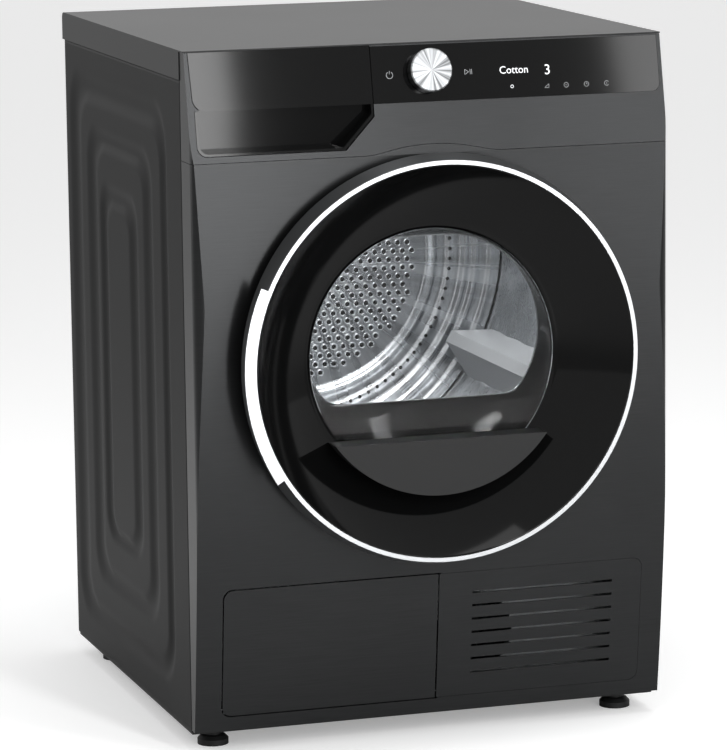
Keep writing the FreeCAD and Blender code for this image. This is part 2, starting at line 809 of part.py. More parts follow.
def make_bulkheads():
    """The two cross walls that carry the drum, and its felt seals."""
    side = frame_side - seat_gap
    low = base_top
    front = block("FrontWall", (-side, side), (bulkhead_front, bulkhead_rear), (low, bulkhead_top))
    throat = rod("FrontThroat", "Y", 0, bulkhead_front - 1, door_height, throat_radius, 10)
    inlet = block("FrontInlet", (duct_left - 1, duct_right + 1), (bulkhead_front - 1, bulkhead_rear + 1),
                  (low - 1, duct_top + 1))
    fan = rod("FrontFanHole", "Y", fan_x, bulkhead_front - 1, fan_height, fan_radius + 4, 10)
    tray_hole = tank_prism("FrontTankHole", tank_gap + tank_skin + seat_gap, bulkhead_rear + 1, bulkhead_wall + 2)
    node("front_bulkhead", cut("FrontBulkhead", front, [throat, inlet, fan, tray_hole]))
    rear = block("RearWall", (-side, side), (rear_wall_front, rear_wall_rear), (low, bulkhead_top))
    holes = [rod("RearBearingSeat", "Y", 0, rear_wall_front - 1, drum_height, bearing_radius, 10),
             block("RearBlowerPort", (motor_x - 42, motor_x + 42), (rear_wall_front - 1, rear_wall_rear + 1),
                   (duct_bottom + 12, motor_height + 20)),
             rod("RearHoseHole", "Y", hose_x, rear_wall_front - 1, base_top + seat_gap + 30, hose_radius + 0.5, 10)]
    for index in range(6):
        angle = as_size(60 * index + 30)
        holes.append(rod(f"RearAirPort{index}", "Y", cosine(angle) * port_circle, rear_wall_front - 1,
                         drum_height + sine(angle) * port_circle, port_radius, 10))
    node("rear_bulkhead", cut("RearBulkhead", rear, holes))
    front_felt = tube("DrumFrontSeal", "Y", 0, bulkhead_rear, drum_height,
                      drum_mouth + 26, drum_mouth, bulkhead_gap - seat_gap)
    rear_felt = tube("DrumRearSeal", "Y", 0, drum_rear + seat_gap, drum_height,
                     drum_radius - 4, drum_radius - 24, bulkhead_gap - seat_gap)
    bush = tube("RearBush", "Y", 0, rear_wall_front - 4, drum_height,
                bearing_radius, shaft_radius + running_gap, 18)
    node("drum_bearings", join("DrumBearings", [front_felt, rear_felt, bush]))


def make_drum():
    """Steel drum: shell with a front rim, perforated rear wall, lifters and stub shaft."""
    r = drum_radius
    wall = drum_wall
    front = drum_front
    node("drum_shell", revolve("DrumShell", "XY_Plane", [[
        (r - wall, front + wall), (r - wall, drum_rear), (r, drum_rear), (r, front),
        (drum_mouth, front), (drum_mouth, front + wall)]], at=(0, 0, drum_height)))
    disc = rod("DrumDisc", "Y", 0, drum_rear - wall, drum_height, r - wall, wall)
    node("drum_rear_wall", cut("DrumRearWall", disc, [drum_holes()]))
    lifters = []
    for index in range(3):
        angle = as_size(120 * index + 90)
        lifters.append(lifter(f"Lifter{index}", angle))
    node("drum_lifters", join("DrumLifters", lifters))
    node("drum_shaft", revolve("DrumShaft", "XY_Plane", [[
        (0, drum_rear), (drum_spider, drum_rear), (drum_spider, drum_rear + 3), (30, drum_rear + 3),
        (20, rear_wall_front - 5), (shaft_radius, rear_wall_front - 5),
        (shaft_radius, rear_wall_rear + 14), (0, rear_wall_rear + 14)]],
        at=(0, 0, drum_height)))


def drum_holes():
    """Five rings of round air holes, as one tool."""
    body = doc.addObject("PartDesign::Body", "DrumHoles")
    sketch = new_sketch(body, "XZ_Plane")
    for step in range(5):
        draw_circle(sketch, hole_first + hole_step * step, 0, hole_radius)
    feature = body.newObject("PartDesign::Pad", "DrumHolesPad")
    feature.Profile = sketch
    bind(feature, "Length", drum_wall * 4)
    doc.recompute()
    pattern = body.newObject("PartDesign::PolarPattern", "DrumHolesRing")
    pattern.Originals = [feature]
    pattern.Axis = (sketch, ["N_Axis"])
    pattern.Angle = 360
    pattern.Occurrences = 24
    body.Tip = pattern
    place(body, 0, drum_rear + drum_wall, drum_height)
    return body


def lifter(name, angle):
    """A hollow-looking ridge along the drum, its base a little off the shell."""
    foot = root((drum_radius - drum_wall - seat_gap) * (drum_radius - drum_wall - seat_gap) - 36 * 36)
    top = foot - lifter_height
    body = pad(name, "XZ_Plane",
               [[(top, -8), (foot, -36), (foot, 36), (top, 8)]],
               drum_rear - drum_front - 60)
    turn = FreeCAD.Rotation(FreeCAD.Vector(0, 1, 0), -angle.value)
    body.Placement = FreeCAD.Placement(FreeCAD.Vector(), turn)
    place_only(body, 0, drum_rear - 30, drum_height)
    return body


def place_only(obj, x, y, z):
    for letter, size in zip("xyz", (x, y, z)):
        bind(obj, f"Placement.Base.{letter}", size)


def make_rollers():
    """Two wheels under the drum's front rim, on pins fixed to the front bulkhead."""
    reach = drum_radius + seat_gap + roller_radius
    pins = []
    for name, side in (("front_roller_left", -1), ("front_roller_right", 1)):
        x = side * reach * sine(roller_angle)
        z = drum_height - reach * cosine(roller_angle)
        node(name, tube(name + "Wheel", "Y", x, drum_front + 4, z, roller_radius, roller_pin + running_gap, 20))
        pins.append(rod(name + "Pin", "Y", x, bulkhead_rear, z, roller_pin, bulkhead_gap + 28))
        pins.append(rod(name + "Stop", "Y", x, bulkhead_rear, z, roller_pin + 4, bulkhead_gap + 4 - seat_gap))
    post, pin = idler_support()
    node("support_pins", join("SupportPins", pins + [post, pin]))


# ---------------------------------------------------------------- door
def make_door():
    """Round door: silver ring, black dish, window, bowl, inner frame and seal."""
    y = front_edge
    at = (0, 0, door_height)
    ring = revolve("DoorRingTurn", "XY_Plane", [[
        (dish_radius, y), (ring_front, y), (ring_radius, y + ring_depth), (ring_radius - 3, y + ring_depth),
        (ring_front - 2.5, y + 3), (dish_radius, y + 3)]], at=at)
    lip = revolve("DoorLip", "XY_Plane", [[
        (ring_front - 1, y), (lip_radius, y), (lip_radius, y + 5), (ring_front + 1, y + 5)]], at=at, angle=lip_span)
    turn = FreeCAD.Rotation(FreeCAD.Vector(0, 1, 0), lip_start.value)
    lip.Placement = FreeCAD.Placement(FreeCAD.Vector(), turn)
    place_only(lip, *at)
    notch = block("RingNotch", (hinge_x - 6, hinge_x + 30), (y + 3, y + ring_depth + 1), knuckle_span(1.5))
    node("door_ring", cut("DoorRing", join("DoorRingPieces", [ring, lip]), [notch]))
    hub = y + dish_depth
    dish_edge = dish_radius - seat_gap
    dish = revolve("DoorDish", "XY_Plane", [[
        (dish_edge, y, dish_curve), (window_radius, hub), (window_radius - 6, hub), (window_radius - 6, hub + 3),
        (window_radius + 10, hub + 3), (window_radius + 10, hub, -dish_curve), (dish_edge, y + 3)]], at=at)
    node("door_dish", cut("DoorDishNotched", dish, [block(
        "DishNotch", (hinge_x - 8, hinge_x + 30), (y + 4, y + 30), knuckle_span(1.5))]))
    node("door_window", rod("DoorWindow", "Y", 0, hub + seat_gap, door_height,
                            window_radius - 6 - seat_gap, 3))
    bowl_start = hub + 3 + seat_gap
    node("door_bowl", revolve("DoorBowl", "XY_Plane", [[
        (bowl_radius, bowl_start), (bowl_radius, bowl_end), (0, bowl_end), (0, bowl_end - bowl_wall),
        (bowl_radius - bowl_wall, bowl_end - bowl_wall), (bowl_radius - bowl_wall, bowl_start)]], at=at))
    face = rod("TrimDisc", "Y", 0, y + 22, door_height, window_radius + 5, dish_depth - 25.4)
    segment = block("TrimSegment", (-window_radius * 2, window_radius * 2), (y, y + 60),
                    (door_height - ring_radius, door_height - 97))
    node("door_trim", common("DoorTrim", face, segment))
    make_door_frame(y, at)
    node("door_seal", tube("DoorSeal", "Y", 0, panel_front - 3.9, door_height,
                           seal_radius + 5, seal_radius - 4, 3.6))


def knuckle_span(grow):
    """Height range of the fixed hinge knuckle, in the middle of the door."""
    return (door_height - 12 - grow, door_height + 12 + grow)


def make_door_frame(y, at):
    """The door's rear frame with two hinge knuckles and the latch hook."""
    back = panel_front - 4
    ring = revolve("DoorFrameTurn", "XY_Plane", [[
        (frame_radius, back), (frame_radius, back - 20.5), (frame_radius - 10, back - 11.5),
        (frame_radius - 18, back - 4.9), (frame_radius - 18, back)]], at=at)
    pieces = [ring]
    for index, side in enumerate((-1, 1)):
        middle = door_height + side * 24
        span = (middle - 11.5, middle + 11.5)
        pieces.append(block(f"KnuckleArm{index}", (frame_radius - 8, hinge_x + 2), (hinge_y + 7, hinge_y + 12), span))
        pieces.append(block(f"KnuckleNeck{index}", (hinge_x - 3, hinge_x + 3), (hinge_y, hinge_y + 8), span))
        pieces.append(rod(f"Knuckle{index}", "Z", hinge_x, hinge_y, span[0], pin_radius + 3, 23))
    pieces.append(block("HookBar", (hook_x - 3, hook_x + 3), (back - 1, back + 26),
                        (door_height - 8, door_height + 8)))
    solid = join("DoorFrameSolid", pieces)
    bore = rod("KnuckleBore", "Z", hinge_x, hinge_y, door_height - 40, pin_radius + running_gap, 80)
    room = block("KnuckleRoom", (hinge_x - 12, hinge_x + 30), (y, y + 60), knuckle_span(0.5))
    node("door_inner_frame", cut("DoorFrame", solid, [bore, room]))


def make_door_fixings():
    """On the cabinet: hinge bracket with its pin, and the latch catch."""
    low, high = knuckle_span(0)
    arm = block("HingeArm", (hinge_x - 4, hinge_x), (hinge_y, panel_front - 0.2), (low, high))
    knuckle = rod("HingeKnuckle", "Z", hinge_x, hinge_y, low, pin_radius + 3, high - low)
    plate = block("HingePlate", (frame_radius + 1, hinge_x + 14), (panel_front - 2, panel_front - 0.2),
                  (low - 30, high + 30))
    pin = rod("HingePin", "Z", hinge_x, hinge_y, door_height - 36, pin_radius, 72)
    body = block("CatchBody", (hook_x - 15, hook_x + 9), (panel_front + 6.2, panel_front + 34),
                 (door_height - 20, door_height + 20))
    slot = block("CatchSlot", (hook_x - 7, hook_x + 7), (panel_front + 5, panel_front + 28),
                 (door_height - 12, door_height + 12))
    catch = cut("DoorCatch", body, [slot])
    node("door_fixings", join("DoorFixings", [arm, knuckle, plate, pin, catch]))


# ---------------------------------------------------------------- water drawer and controls
def tank_outline(grow):
    """Section of the water tank above the drum; its lower right side follows the drum."""
    left = tank_left - grow
    right = tank_right + grow
    low = tank_bottom - grow
    high = tank_top + grow
    return [(left, low), (tank_left + 83 + grow * 0.4, low), (tank_left + 143 + grow * 0.7, tank_bottom + 43 - grow * 0.7),
            (right, tank_bottom + 66 - grow * 0.9), (right, high), (left, high)]


def tank_prism(name, grow, rear, length):
    """The tank's section, padded forwards from rear."""
    return pad(name, "XZ_Plane", [tank_outline(grow)], length, at=(0, rear, 0))


def make_tank(outer):
    """Pull-out condensate tank, its glossy front and the housing it slides in."""
    length = tank_rear - tank_front_y
    solid = tank_prism("TankSolid", 0, tank_rear, length)
    hollow = tank_prism("TankHollow", -tank_wall, tank_rear - tank_wall, length - tank_wall * 2)
    fill = rod("TankFill", "Z", tank_left + 40, tank_rear - 40, tank_top - 10, 12, 20)
    node("water_tank", cut("WaterTank", solid, [hollow, fill]))
    rear = tank_rear + tank_gap
    length = rear - bulkhead_front + 12
    sleeve = tank_prism("HousingSolid", tank_gap + tank_skin, rear + tank_skin, length)
    room = tank_prism("HousingRoom", tank_gap, rear, length + 5)
    fill_port = block("HousingPort", (tank_left + 20, tank_left + 60), (tank_rear - 60, tank_rear - 20),
                      (tank_top, tank_top + 5))
    node("tank_housing", cut("TankHousing", sleeve, [room, fill_port]))
    front = front_prism("DrawerPrism", drawer_outline(0))
    behind = block("DrawerBehind", (-width, width), (tank_front_y, depth), (0, height * 1.2))
    hook = block("DrawerFingerHook", (drawer_left + 14, drawer_right - 42), (tank_front_y - 14, tank_front_y - 4),
                 (drawer_bottom - 1, drawer_bottom + 18))
    face = cut("DrawerFace", common("DrawerSkin", outer, front), [behind, hook])
    grip = common("GripSkin", outer, front_prism("GripPrism", grip_outline(0, 0)))
    cavity = front_prism("GripCavity", grip_outline(-2.5, 1))
    floor = block("GripFloor", (-width, width), (tank_front_y - 4, depth), (0, height * 1.2))
    hollow = cut("GripHollow", cavity, [floor])
    shift = front_block("GripFace", as_size(1))
    pocket = cut("GripPocket", common("GripBehind", grip, shift), [hollow, behind])
    node("tank_front", join("TankFront", [face, pocket]))


def make_controls(outer):
    """Black control window, rotary dial and the circuit boards."""
    shell = cut("GlassShell", outer, [front_block("GlassInner", glass_wall - 0.1)])
    plate = common("GlassPlate", shell, front_prism("GlassPrism", glass_outline(0)))
    node("control_window", cut("ControlWindow", plate, [dial_rod("GlassHole", dial_shaft + 1, -30, 60)]))
    dial = doc.addObject("PartDesign::Body", "Dial")
    sketch = new_sketch(dial, "XZ_Plane")
    r = dial_radius
    draw(sketch, [(0, -board_gap - fascia_wall + seat_gap), (dial_shaft, -board_gap - fascia_wall + seat_gap),
                  (dial_shaft, 0.6), (r - 1, 0.6), (r, 2), (r, dial_depth - 1.5), (r - 1.5, dial_depth),
                  (0, dial_depth)])
    turn = dial.newObject("PartDesign::Revolution", "DialTurn")
    turn.Profile = sketch
    turn.ReferenceAxis = (sketch, ["V_Axis"])
    turn.Angle = 360
    place_on_dial(dial, 0)
    node("control_dial", dial)
    board = doc.addObject("Part::Box", "DisplayBoard")
    bind(board, "Length", glass_right - drawer_right - 20)
    bind(board, "Width", 48)
    bind(board, "Height", 1.6)
    place_on_dial(board, -board_gap - fascia_wall - 1.6, x=drawer_right + 10, up=-30)
    posts = []
    for index, x in enumerate((drawer_right + 20, glass_right - 20)):
        posts.append(dial_rod_at(f"BoardPost{index}", x, 3, -board_gap - fascia_wall, board_gap - 0.2))
    case = block("MainBoardCase", (case_left, frame_side - seat_gap), (drum_front + 10, drum_front + 200),
                 (height - 74, height - 20))
    node("circuit_boards", join("CircuitBoards", [board, case] + posts))


def dial_rod_at(name, x, radius, start, length):
    """A peg square to the fascia at x, at the dial's height."""
    obj = doc.addObject("Part::Cylinder", name)
    bind(obj, "Radius", radius)
    bind(obj, "Height", length)
    place_on_dial(obj, start, x=x)
    return obj


# ---------------------------------------------------------------- lower front panels
def make_lower_panels(outer):
    """Service flap on its two pins, the inner cover with turning locks, and the air grille."""
    plate = cut("LowerShell", outer, [front_block("LowerInner", flap_wall)])
    flap = common("FlapPlate", plate, front_prism("FlapPrism", lower_outline(flap_left, flap_right, True, 0)))
    pieces = [flap]
    for name, edge, side in (("Left", flap_left, 1), ("Right", flap_right, -1)):
        near, far = sorted((edge + side * 1, edge + side * 9), key=lambda size: size.value)
        pieces.append(block(f"FlapLug{name}", (near, far), (flap_pivot_y - 2, flap_pivot_y + 5),
                            (flap_pivot_z - 5, flap_pivot_z + 5)))
        start = far if side < 0 else near - 8
        pieces.append(rod(f"FlapPin{name}", "X", start, flap_pivot_y, flap_pivot_z, flap_pin, 8))
    node("service_flap", join("ServiceFlap", pieces))
    grille = common("GrillePlate", plate,
                    front_prism("GrillePrism", lower_outline(grille_left, grille_right, False, 0)))
    slots = []
    for index in range(7):
        z = slot_pitch * index + 74
        slots.append(block(f"GrilleSlot{index}", (50, 232), (front_edge, side_seam), (z, z + slot_height)))
    bracket, pin_hole = flap_bracket("FlapBracketRight", flap_right, 1)
    node("intake_grille", cut("IntakeGrille", join("GrillePieces", [grille, bracket]), slots + [pin_hole]))
    cover_low, cover_high = base_top + 1, duct_top - 1
    cover = block("InnerCover", (duct_left + 6, duct_right - 6), (duct_front - 6.3, duct_front - seat_gap),
                  (cover_low, cover_high))
    node("exchanger_cover", cover)
    middle = (cover_low + cover_high) / 2
    for name, x in (("cover_lock_left", duct_left + 24), ("cover_lock_right", duct_right - 24)):
        y = duct_front - 6.3 - seat_gap
        disc = rod(name + "Disc", "Y", x, y - 3, middle, 12, 3)
        lever = block(name + "Lever", (x - 3, x + 3), (y - 9, y - 3), (middle - 18, middle + 10))
        node(name, join(name + "Lock", [disc, lever]))


# ---------------------------------------------------------------- air path and heat pump
def make_filter():
    """Housing under the door opening and the lint screen that lifts out of it."""
    floor = door_height - throat_radius - seat_gap * 3
    side = as_size(105)
    rear = bulkhead_front - seat_gap
    front = rear - 40
    outer = block("FilterOuter", (-side, side), (front, rear), (duct_top + 1, floor - 24))
    inner = block("FilterInner", (2 - side, side - 2), (front + 2, rear - 2), (duct_top, floor))
    node("filter_housing", cut("FilterHousing", outer, [inner]))
    frame = block("LintOuter", (2.4 - side, side - 2.4), (front + 2.4, rear - 2.4), (duct_top + 12, floor - 26))
    window = block("LintWindow", (9 - side, side - 9), (front + 5, rear - 5), (duct_top + 14, floor))
    node("lint_filter", cut("LintFilter", frame, [window]))


def make_air_duct():
    """Duct around the two exchangers, with its branch to the blower."""
    right = frame_side - 2
    rear = blower_front - seat_gap
    main = block("DuctMain", (duct_left, duct_right), (duct_front, rear), (duct_bottom, duct_top))
    branch = block("DuctBranch", (duct_left, right), (duct_branch, rear), (duct_bottom, duct_top))
    wall = duct_wall
    main_room = block("DuctMainRoom", (duct_left + wall, duct_right - wall), (duct_front - 1, rear - wall),
                      (duct_bottom + wall, duct_top - wall))
    branch_room = block("DuctBranchRoom", (duct_left + wall, right - wall), (duct_branch + wall, rear - wall),
                        (duct_bottom + wall, duct_top - wall))
    inlet = block("DuctInlet", (duct_left + 50, duct_right - 30), (duct_front + 2, bulkhead_front - 2),
                  (duct_top - 10, duct_top + 1))
    eye = rod("DuctEye", "Y", motor_x, rear - 10, motor_height, wheel_radius - 20, 20)
    shaft = rod("DuctShaftHole", "Y", motor_x, duct_branch - 1, motor_height, motor_shaft + 1, 10)
    pipes = [rod(f"DuctPipeHole{index}", "X", duct_right - 10, pipe_y(index), pipe_low, pipe_radius + 0.5, 20)
             for index in range(2)]
    node("exchanger_duct", cut("ExchangerDuct", join("DuctSolid", [main, branch]),
                               [main_room, branch_room, inlet, eye, shaft] + pipes))
    coils = []
    for name, low, high in (("Evaporator", duct_front + 32, duct_front + 132),
                            ("Condenser", duct_front + 147, duct_front + 277)):
        coils.append(block(name, (duct_left + 6, duct_right - 6), (low, high), (duct_bottom + wall + seat_gap,
                                                                              duct_top - wall - seat_gap)))
    node("heat_exchangers", join("HeatExchangers", coils))


def pipe_y(index):
    return compressor_y - 22 + index * 34


def pipe_path(name, points, radius, bend):
    """A round pipe along straight runs joined by tangent arcs."""
    corners = [FreeCAD.Vector(*[as_size(value).value for value in point]) for point in points]
    edges = []
    start = corners[0]
    for before, corner, after in zip(corners, corners[1:], corners[2:]):
        inward = (before - corner).normalize()
        outward = (after - corner).normalize()
        half = inward.getAngle(outward) / 2
        reach = bend.value / math.tan(half)
        first = corner + inward * reach
        last = corner + outward * reach
        centre = corner + (inward + outward).normalize() * (bend.value / math.sin(half))
        middle = centre + (corner - centre).normalize() * bend.value
        edges.append(Part.LineSegment(start, first).toShape())
        edges.append(Part.Arc(first, middle, last).toShape())
        start = last
    edges.append(Part.LineSegment(start, corners[-1]).toShape())
    spine = Part.Wire(edges)
    direction = corners[1] - corners[0]
    section = Part.Wire([Part.Circle(corners[0], direction, radius.value).toShape()])
    shape = spine.makePipeShell([section], True, False)
    obj = doc.addObject("Part::Feature", name)
    obj.Shape = Part.Solid(shape) if shape.ShapeType == "Shell" else shape
    return obj


def make_heat_pump():
    """Compressor on its base and the two refrigerant pipes to the exchangers."""
    r = compressor_radius
    foot = base_bottom + base_floor
    node("compressor", revolve("Compressor", "XZ_Plane", [[
        (0, foot + 0.0), (r - 18, foot), (r - 18, foot + 14), (r - 14, foot + 14, 20), (r, foot + 40),
        (r, compressor_top - 30, 30), (r - 30, compressor_top), (0, compressor_top)]],
        at=(compressor_x, compressor_y, 0)))
    bend = pipe_radius * 5
    over = compressor_top + 36
    pipes = []
    for index, x in enumerate((compressor_x - 25, compressor_x - 10)):
        across = as_size(60 - 25 * index)
        pipes.append(pipe_path(f"RefrigerantPipe{index}", [
            (x, pipe_y(index), compressor_top + seat_gap), (x, pipe_y(index), over),
            (across, pipe_y(index), over - 4), (across, pipe_y(index), pipe_low),
            (duct_right - 5, pipe_y(index), pipe_low)], pipe_radius, bend))
    node("refrigerant_pipes", join("RefrigerantPipes", pipes))


def make_motor():
    """Motor with its shaft, belt pulley, blower wheel, blower housing and belt."""
    at = (motor_x, 0, motor_height)
    front = motor_front
    rear = motor_front + motor_length
    bore = motor_shaft + running_gap
    r = motor_radius
    shell = revolve("MotorShell", "XY_Plane", [[
        (bore, front), (r, front), (r, rear), (bore, rear), (bore, rear - 6), (r - 8, rear - 6),
        (r - 8, front + 6), (bore, front + 6)]], at=at)
    node("motor_housing", shell)
    pulley = pulley_radius
    half = belt_width / 2 + 4
    node("motor_rotor", revolve("MotorRotor", "XY_Plane", [[
        (0, belt_y - half - 2), (motor_shaft, belt_y - half - 2), (motor_shaft, belt_y - half),
        (pulley + 3, belt_y - half), (pulley + 3, belt_y - half + 2), (pulley, belt_y - half + 2),
        (pulley, belt_y + half - 2), (pulley + 3, belt_y + half - 2), (pulley + 3, belt_y + half),
        (motor_shaft, belt_y + half), (motor_shaft, front + 12), (r - 14, front + 12), (r - 14, rear - 12),
        (motor_shaft, rear - 12), (motor_shaft, blower_rear - 8), (0, blower_rear - 8)]], at=at))
    make_blower()
    make_belt()


def make_blower():
    """Radial fan wheel with a back plate and blades, in a box with an outlet to the rear."""
    back = blower_rear - 8
    plate = tube("WheelPlate", "Y", motor_x, back - 3, motor_height, wheel_radius, motor_shaft, 3)
    hub = tube("WheelHub", "Y", motor_x, back - 24, motor_height, motor_shaft + 6, motor_shaft, 21)
    blades = []
    for index in range(16):
        blade = doc.addObject("Part::Box", f"WheelBlade{index}")
        bind(blade, "Length", 16)
        bind(blade, "Width", 40)
        bind(blade, "Height", 1.5)
        angle = math.radians(360 / 16 * index)
        reach = wheel_radius - 16
        blade.Placement = FreeCAD.Placement(
            FreeCAD.Vector(), FreeCAD.Rotation(FreeCAD.Vector(0, 1, 0), -math.degrees(angle)))
        place_only(blade, motor_x + reach * math.cos(angle), back - 43, motor_height + reach * math.sin(angle))
        blades.append(blade)
    ring = tube("WheelRim", "Y", motor_x, back - 43, motor_height, wheel_radius, wheel_radius - 16, 2)
    node("blower_wheel", join("BlowerWheel", [plate, hub, ring] + blades))
    wall = duct_wall
    side = wheel_radius + 8
    outer = block("BlowerOuter", (motor_x - side, motor_x + side), (blower_front, blower_rear),
                  (motor_height - side, motor_height + side))
    pipe = block("BlowerPipe", (motor_x - 41, motor_x + 41), (blower_rear - 1, rear_wall_front + 2),
                 (duct_bottom + 13, motor_height + 19))
    room = block("BlowerRoom", (motor_x - side + wall, motor_x + side - wall), (blower_front + wall, blower_rear - wall),
                 (motor_height - side + wall, motor_height + side - wall))
    bore = block("BlowerPipeRoom", (motor_x - 39, motor_x + 39), (blower_rear - 10, rear_wall_front + 3),
                 (duct_bottom + 15, motor_height + 17))
    eye = rod("BlowerEye", "Y", motor_x, blower_front - 1, motor_height, wheel_radius - 20, 10)
    node("blower_housing", cut("BlowerHousing", join("BlowerSolid", [outer, pipe]), [room, bore, eye]))


def belt_outline(grow):
    """Belt path round drum and pulley: two arcs and their two outer tangent lines."""
    large = drum_radius + seat_gap + grow
    small = pulley_radius + seat_gap + grow
    across = motor_x
    down = drum_height - motor_height
    span = root(across * across + down * down)
    along = (large - small) / span
    off = root(1 - along * along)
    ux, uz = across / span, -down / span
    outline = []
    for side in (1, -1):
        nx = ux * along - side * uz * off
        nz = uz * along + side * ux * off
        points = [(nx * large, drum_height + nz * large), (motor_x + nx * small, motor_height + nz * small)]
        outline.append(points)
    right, left = outline
    return [right[1], (right[0][0], right[0][1], large), (as_size(0), drum_height + large, large), left[0],
            (left[1][0], left[1][1], small)]


def make_belt():
    belt = pad("DriveBelt", "XZ_Plane", [belt_outline(belt_wall), belt_outline(as_size(0))], belt_width,
               at=(0, belt_y + belt_width / 2, 0))
    node("drive_belt", belt)


def make_idler():
    """Belt tensioner: arm on a pin, small wheel against the belt, and its spring."""
    y = belt_y
    px, pz = idler_pivot_x, idler_pivot_z
    wx, wz = idler_wheel_x, idler_wheel_z
    node("idler_pulley", tube("IdlerPulley", "Y", wx, y - 5, wz, idler_radius, idler_pin + running_gap, 10))
    arm_y = y + 5 + seat_gap
    arm = pad("IdlerPlate", "XZ_Plane", [[
        (wx - 6, wz - 2), (px - 4, pz - 8), (px + 22, pz - 22), (px + 26, pz - 14), (px + 8, pz + 4),
        (wx + 6, wz + 5)]], 3, at=(0, arm_y + 3, 0))
    wheel_pin = rod("IdlerWheelPin", "Y", wx, y - 6, wz, idler_pin, 9)
    hole = rod("IdlerPivotHole", "Y", px, arm_y - 1, pz, idler_pin + running_gap, 6)
    node("idler_arm", cut("IdlerArm", join("IdlerArmSolid", [arm, wheel_pin]), [hole]))
    node("idler_spring", rod("IdlerSpring", "Z", px + 22, arm_y + 1.5, base_bottom + base_floor,
                             3, pz - 22 - base_bottom - base_floor))


def idler_support():
    """Post on the base and the pin that the tensioner's arm turns on."""
    arm_y = belt_y + 5 + seat_gap
    px, pz = idler_pivot_x, idler_pivot_z
    post = block("IdlerPost", (px - 7, px + 7), (arm_y + 3 + seat_gap, arm_y + 9), (base_bottom + base_floor, pz + 7))
    return post, rod("IdlerPivotPin", "Y", px, arm_y - 2, pz, idler_pin, 10)


def make_fan():
    """Compressor cooling fan behind the grille, on its own small motor."""
    y = bulkhead_rear + 6
    hub = rod("FanHub", "Y", fan_x, y, fan_height, 12, 18)
    blades = [hub]
    for index in range(5):
        blade = doc.addObject("Part::Box", f"FanBlade{index}")
        bind(blade, "Length", fan_radius - 8)
        bind(blade, "Width", 14)
        bind(blade, "Height", 2)
        blade.Placement = FreeCAD.Placement(
            FreeCAD.Vector(), FreeCAD.Rotation(FreeCAD.Vector(0, 1, 0), 72 * index))
        blades.append(blade)
        place_only(blade, fan_x, y + 2, fan_height)
    shaft = rod("FanShaft", "Y", fan_x, y + 18, fan_height, 3, 20)
    node("cooling_fan", join("CoolingFan", blades + [shaft]))
    case = rod("FanCase", "Y", fan_x, y + 18 + seat_gap, fan_height, 18, 24)
    bore = rod("FanBore", "Y", fan_x, y + 17, fan_height, 3 + running_gap, 26)
    post = block("FanPost", (fan_x - 10, fan_x + 10), (y + 24, y + 38), (base_bottom + base_floor, fan_height))
    node("cooling_fan_motor", cut("CoolingFanMotor", join("FanMotorSolid", [case, post]), [bore]))


def make_pump():
    """Condensate pump, the hose up to the tank and the rear fittings."""
    x = (hose_x - 16, hose_x + 60)
    y = (blower_rear + 20, rear_wall_front - 10)
    low = base_top + seat_gap
    pump = block("PumpBody", x, y, (low, low + pump_height))
    outlet = rod("PumpOutlet", "Y", hose_x, rear_wall_front - 12, low + 30, hose_radius, 12)
    node("condensate_pump", join("CondensatePump", [pump, outlet]))
    bend = hose_radius * 3
    node("pump_hose", pipe_path("PumpHose", [
        (hose_x, rear_wall_front, low + 30), (hose_x, hose_y, low + 30), (hose_x, hose_y, 824),
        (hose_x, tank_rear + tank_gap + tank_skin, 824)], hose_radius, bend))
    gland = tube("InletGland", "Y", inlet_x, rear_inner - 8, inlet_z, inlet_radius, lead_radius, rear_edge - rear_inner + 7)
    flange = tube("InletFlange", "Y", inlet_x, rear_face, inlet_z, inlet_radius + 4, lead_radius, 3)
    spigot = tube("DrainSpigot", "Y", spigot_x, rear_inner - 3, inlet_z, spigot_radius, spigot_radius - 1.5,
                  rear_edge - rear_inner + 3)
    stub = tube("DrainStub", "Y", spigot_x, rear_inner - 20, inlet_z, spigot_radius - 0.5, spigot_radius - 1.5, 17)
    plate = tube("DrainFlange", "Y", spigot_x, rear_inner - 3, inlet_z, spigot_flange + 4, spigot_radius - 1.5, 3)
    node("rear_fittings", join("RearFittings", [gland, flange, spigot, stub, plate]))


# ---------------------------------------------------------------- build and write
def build():
    outer = front_block("FrontOuter", as_size(0))
    make_base()
    make_feet()
    make_side_panel("left_side_panel", -1)
    make_side_panel("right_side_panel", 1)
    make_rear_panel()
    make_duct_cover()
    make_top_cover()
    make_front_panel(outer)
    make_fascia(outer)
    make_controls(outer)
    make_lower_panels(outer)
    make_bulkheads()
    make_drum()
    make_rollers()
    make_filter()
    make_air_duct()
    make_heat_pump()
    make_motor()
    make_idler()
    make_fan()
    make_pump()
    make_tank(outer)
    make_door()
    make_door_fixings()
    doc.recompute()


def check():
    """Stop on any object that failed, and on any empty or invalid sub-part."""
    faults = [obj.Name for obj in doc.Objects if "Invalid" in obj.State or "Error" in obj.State]
    for name, obj in nodes.items():
        if obj.Shape.isNull() or not obj.Shape.isValid() or not obj.Shape.Solids:
            faults.append(name)
    if faults:
        raise RuntimeError(f"these failed: {faults}")


def write():
    os.makedirs("parts", exist_ok=True)
    for name, obj in nodes.items():
        obj.Shape.exportStep(f"parts/{name}.step")


build()
check()
write()
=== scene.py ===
"""Looks of a free-standing heat pump clothes dryer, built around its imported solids."""
import json
import math
import bpy
import numpy as np
from mathutils import Matrix, Vector


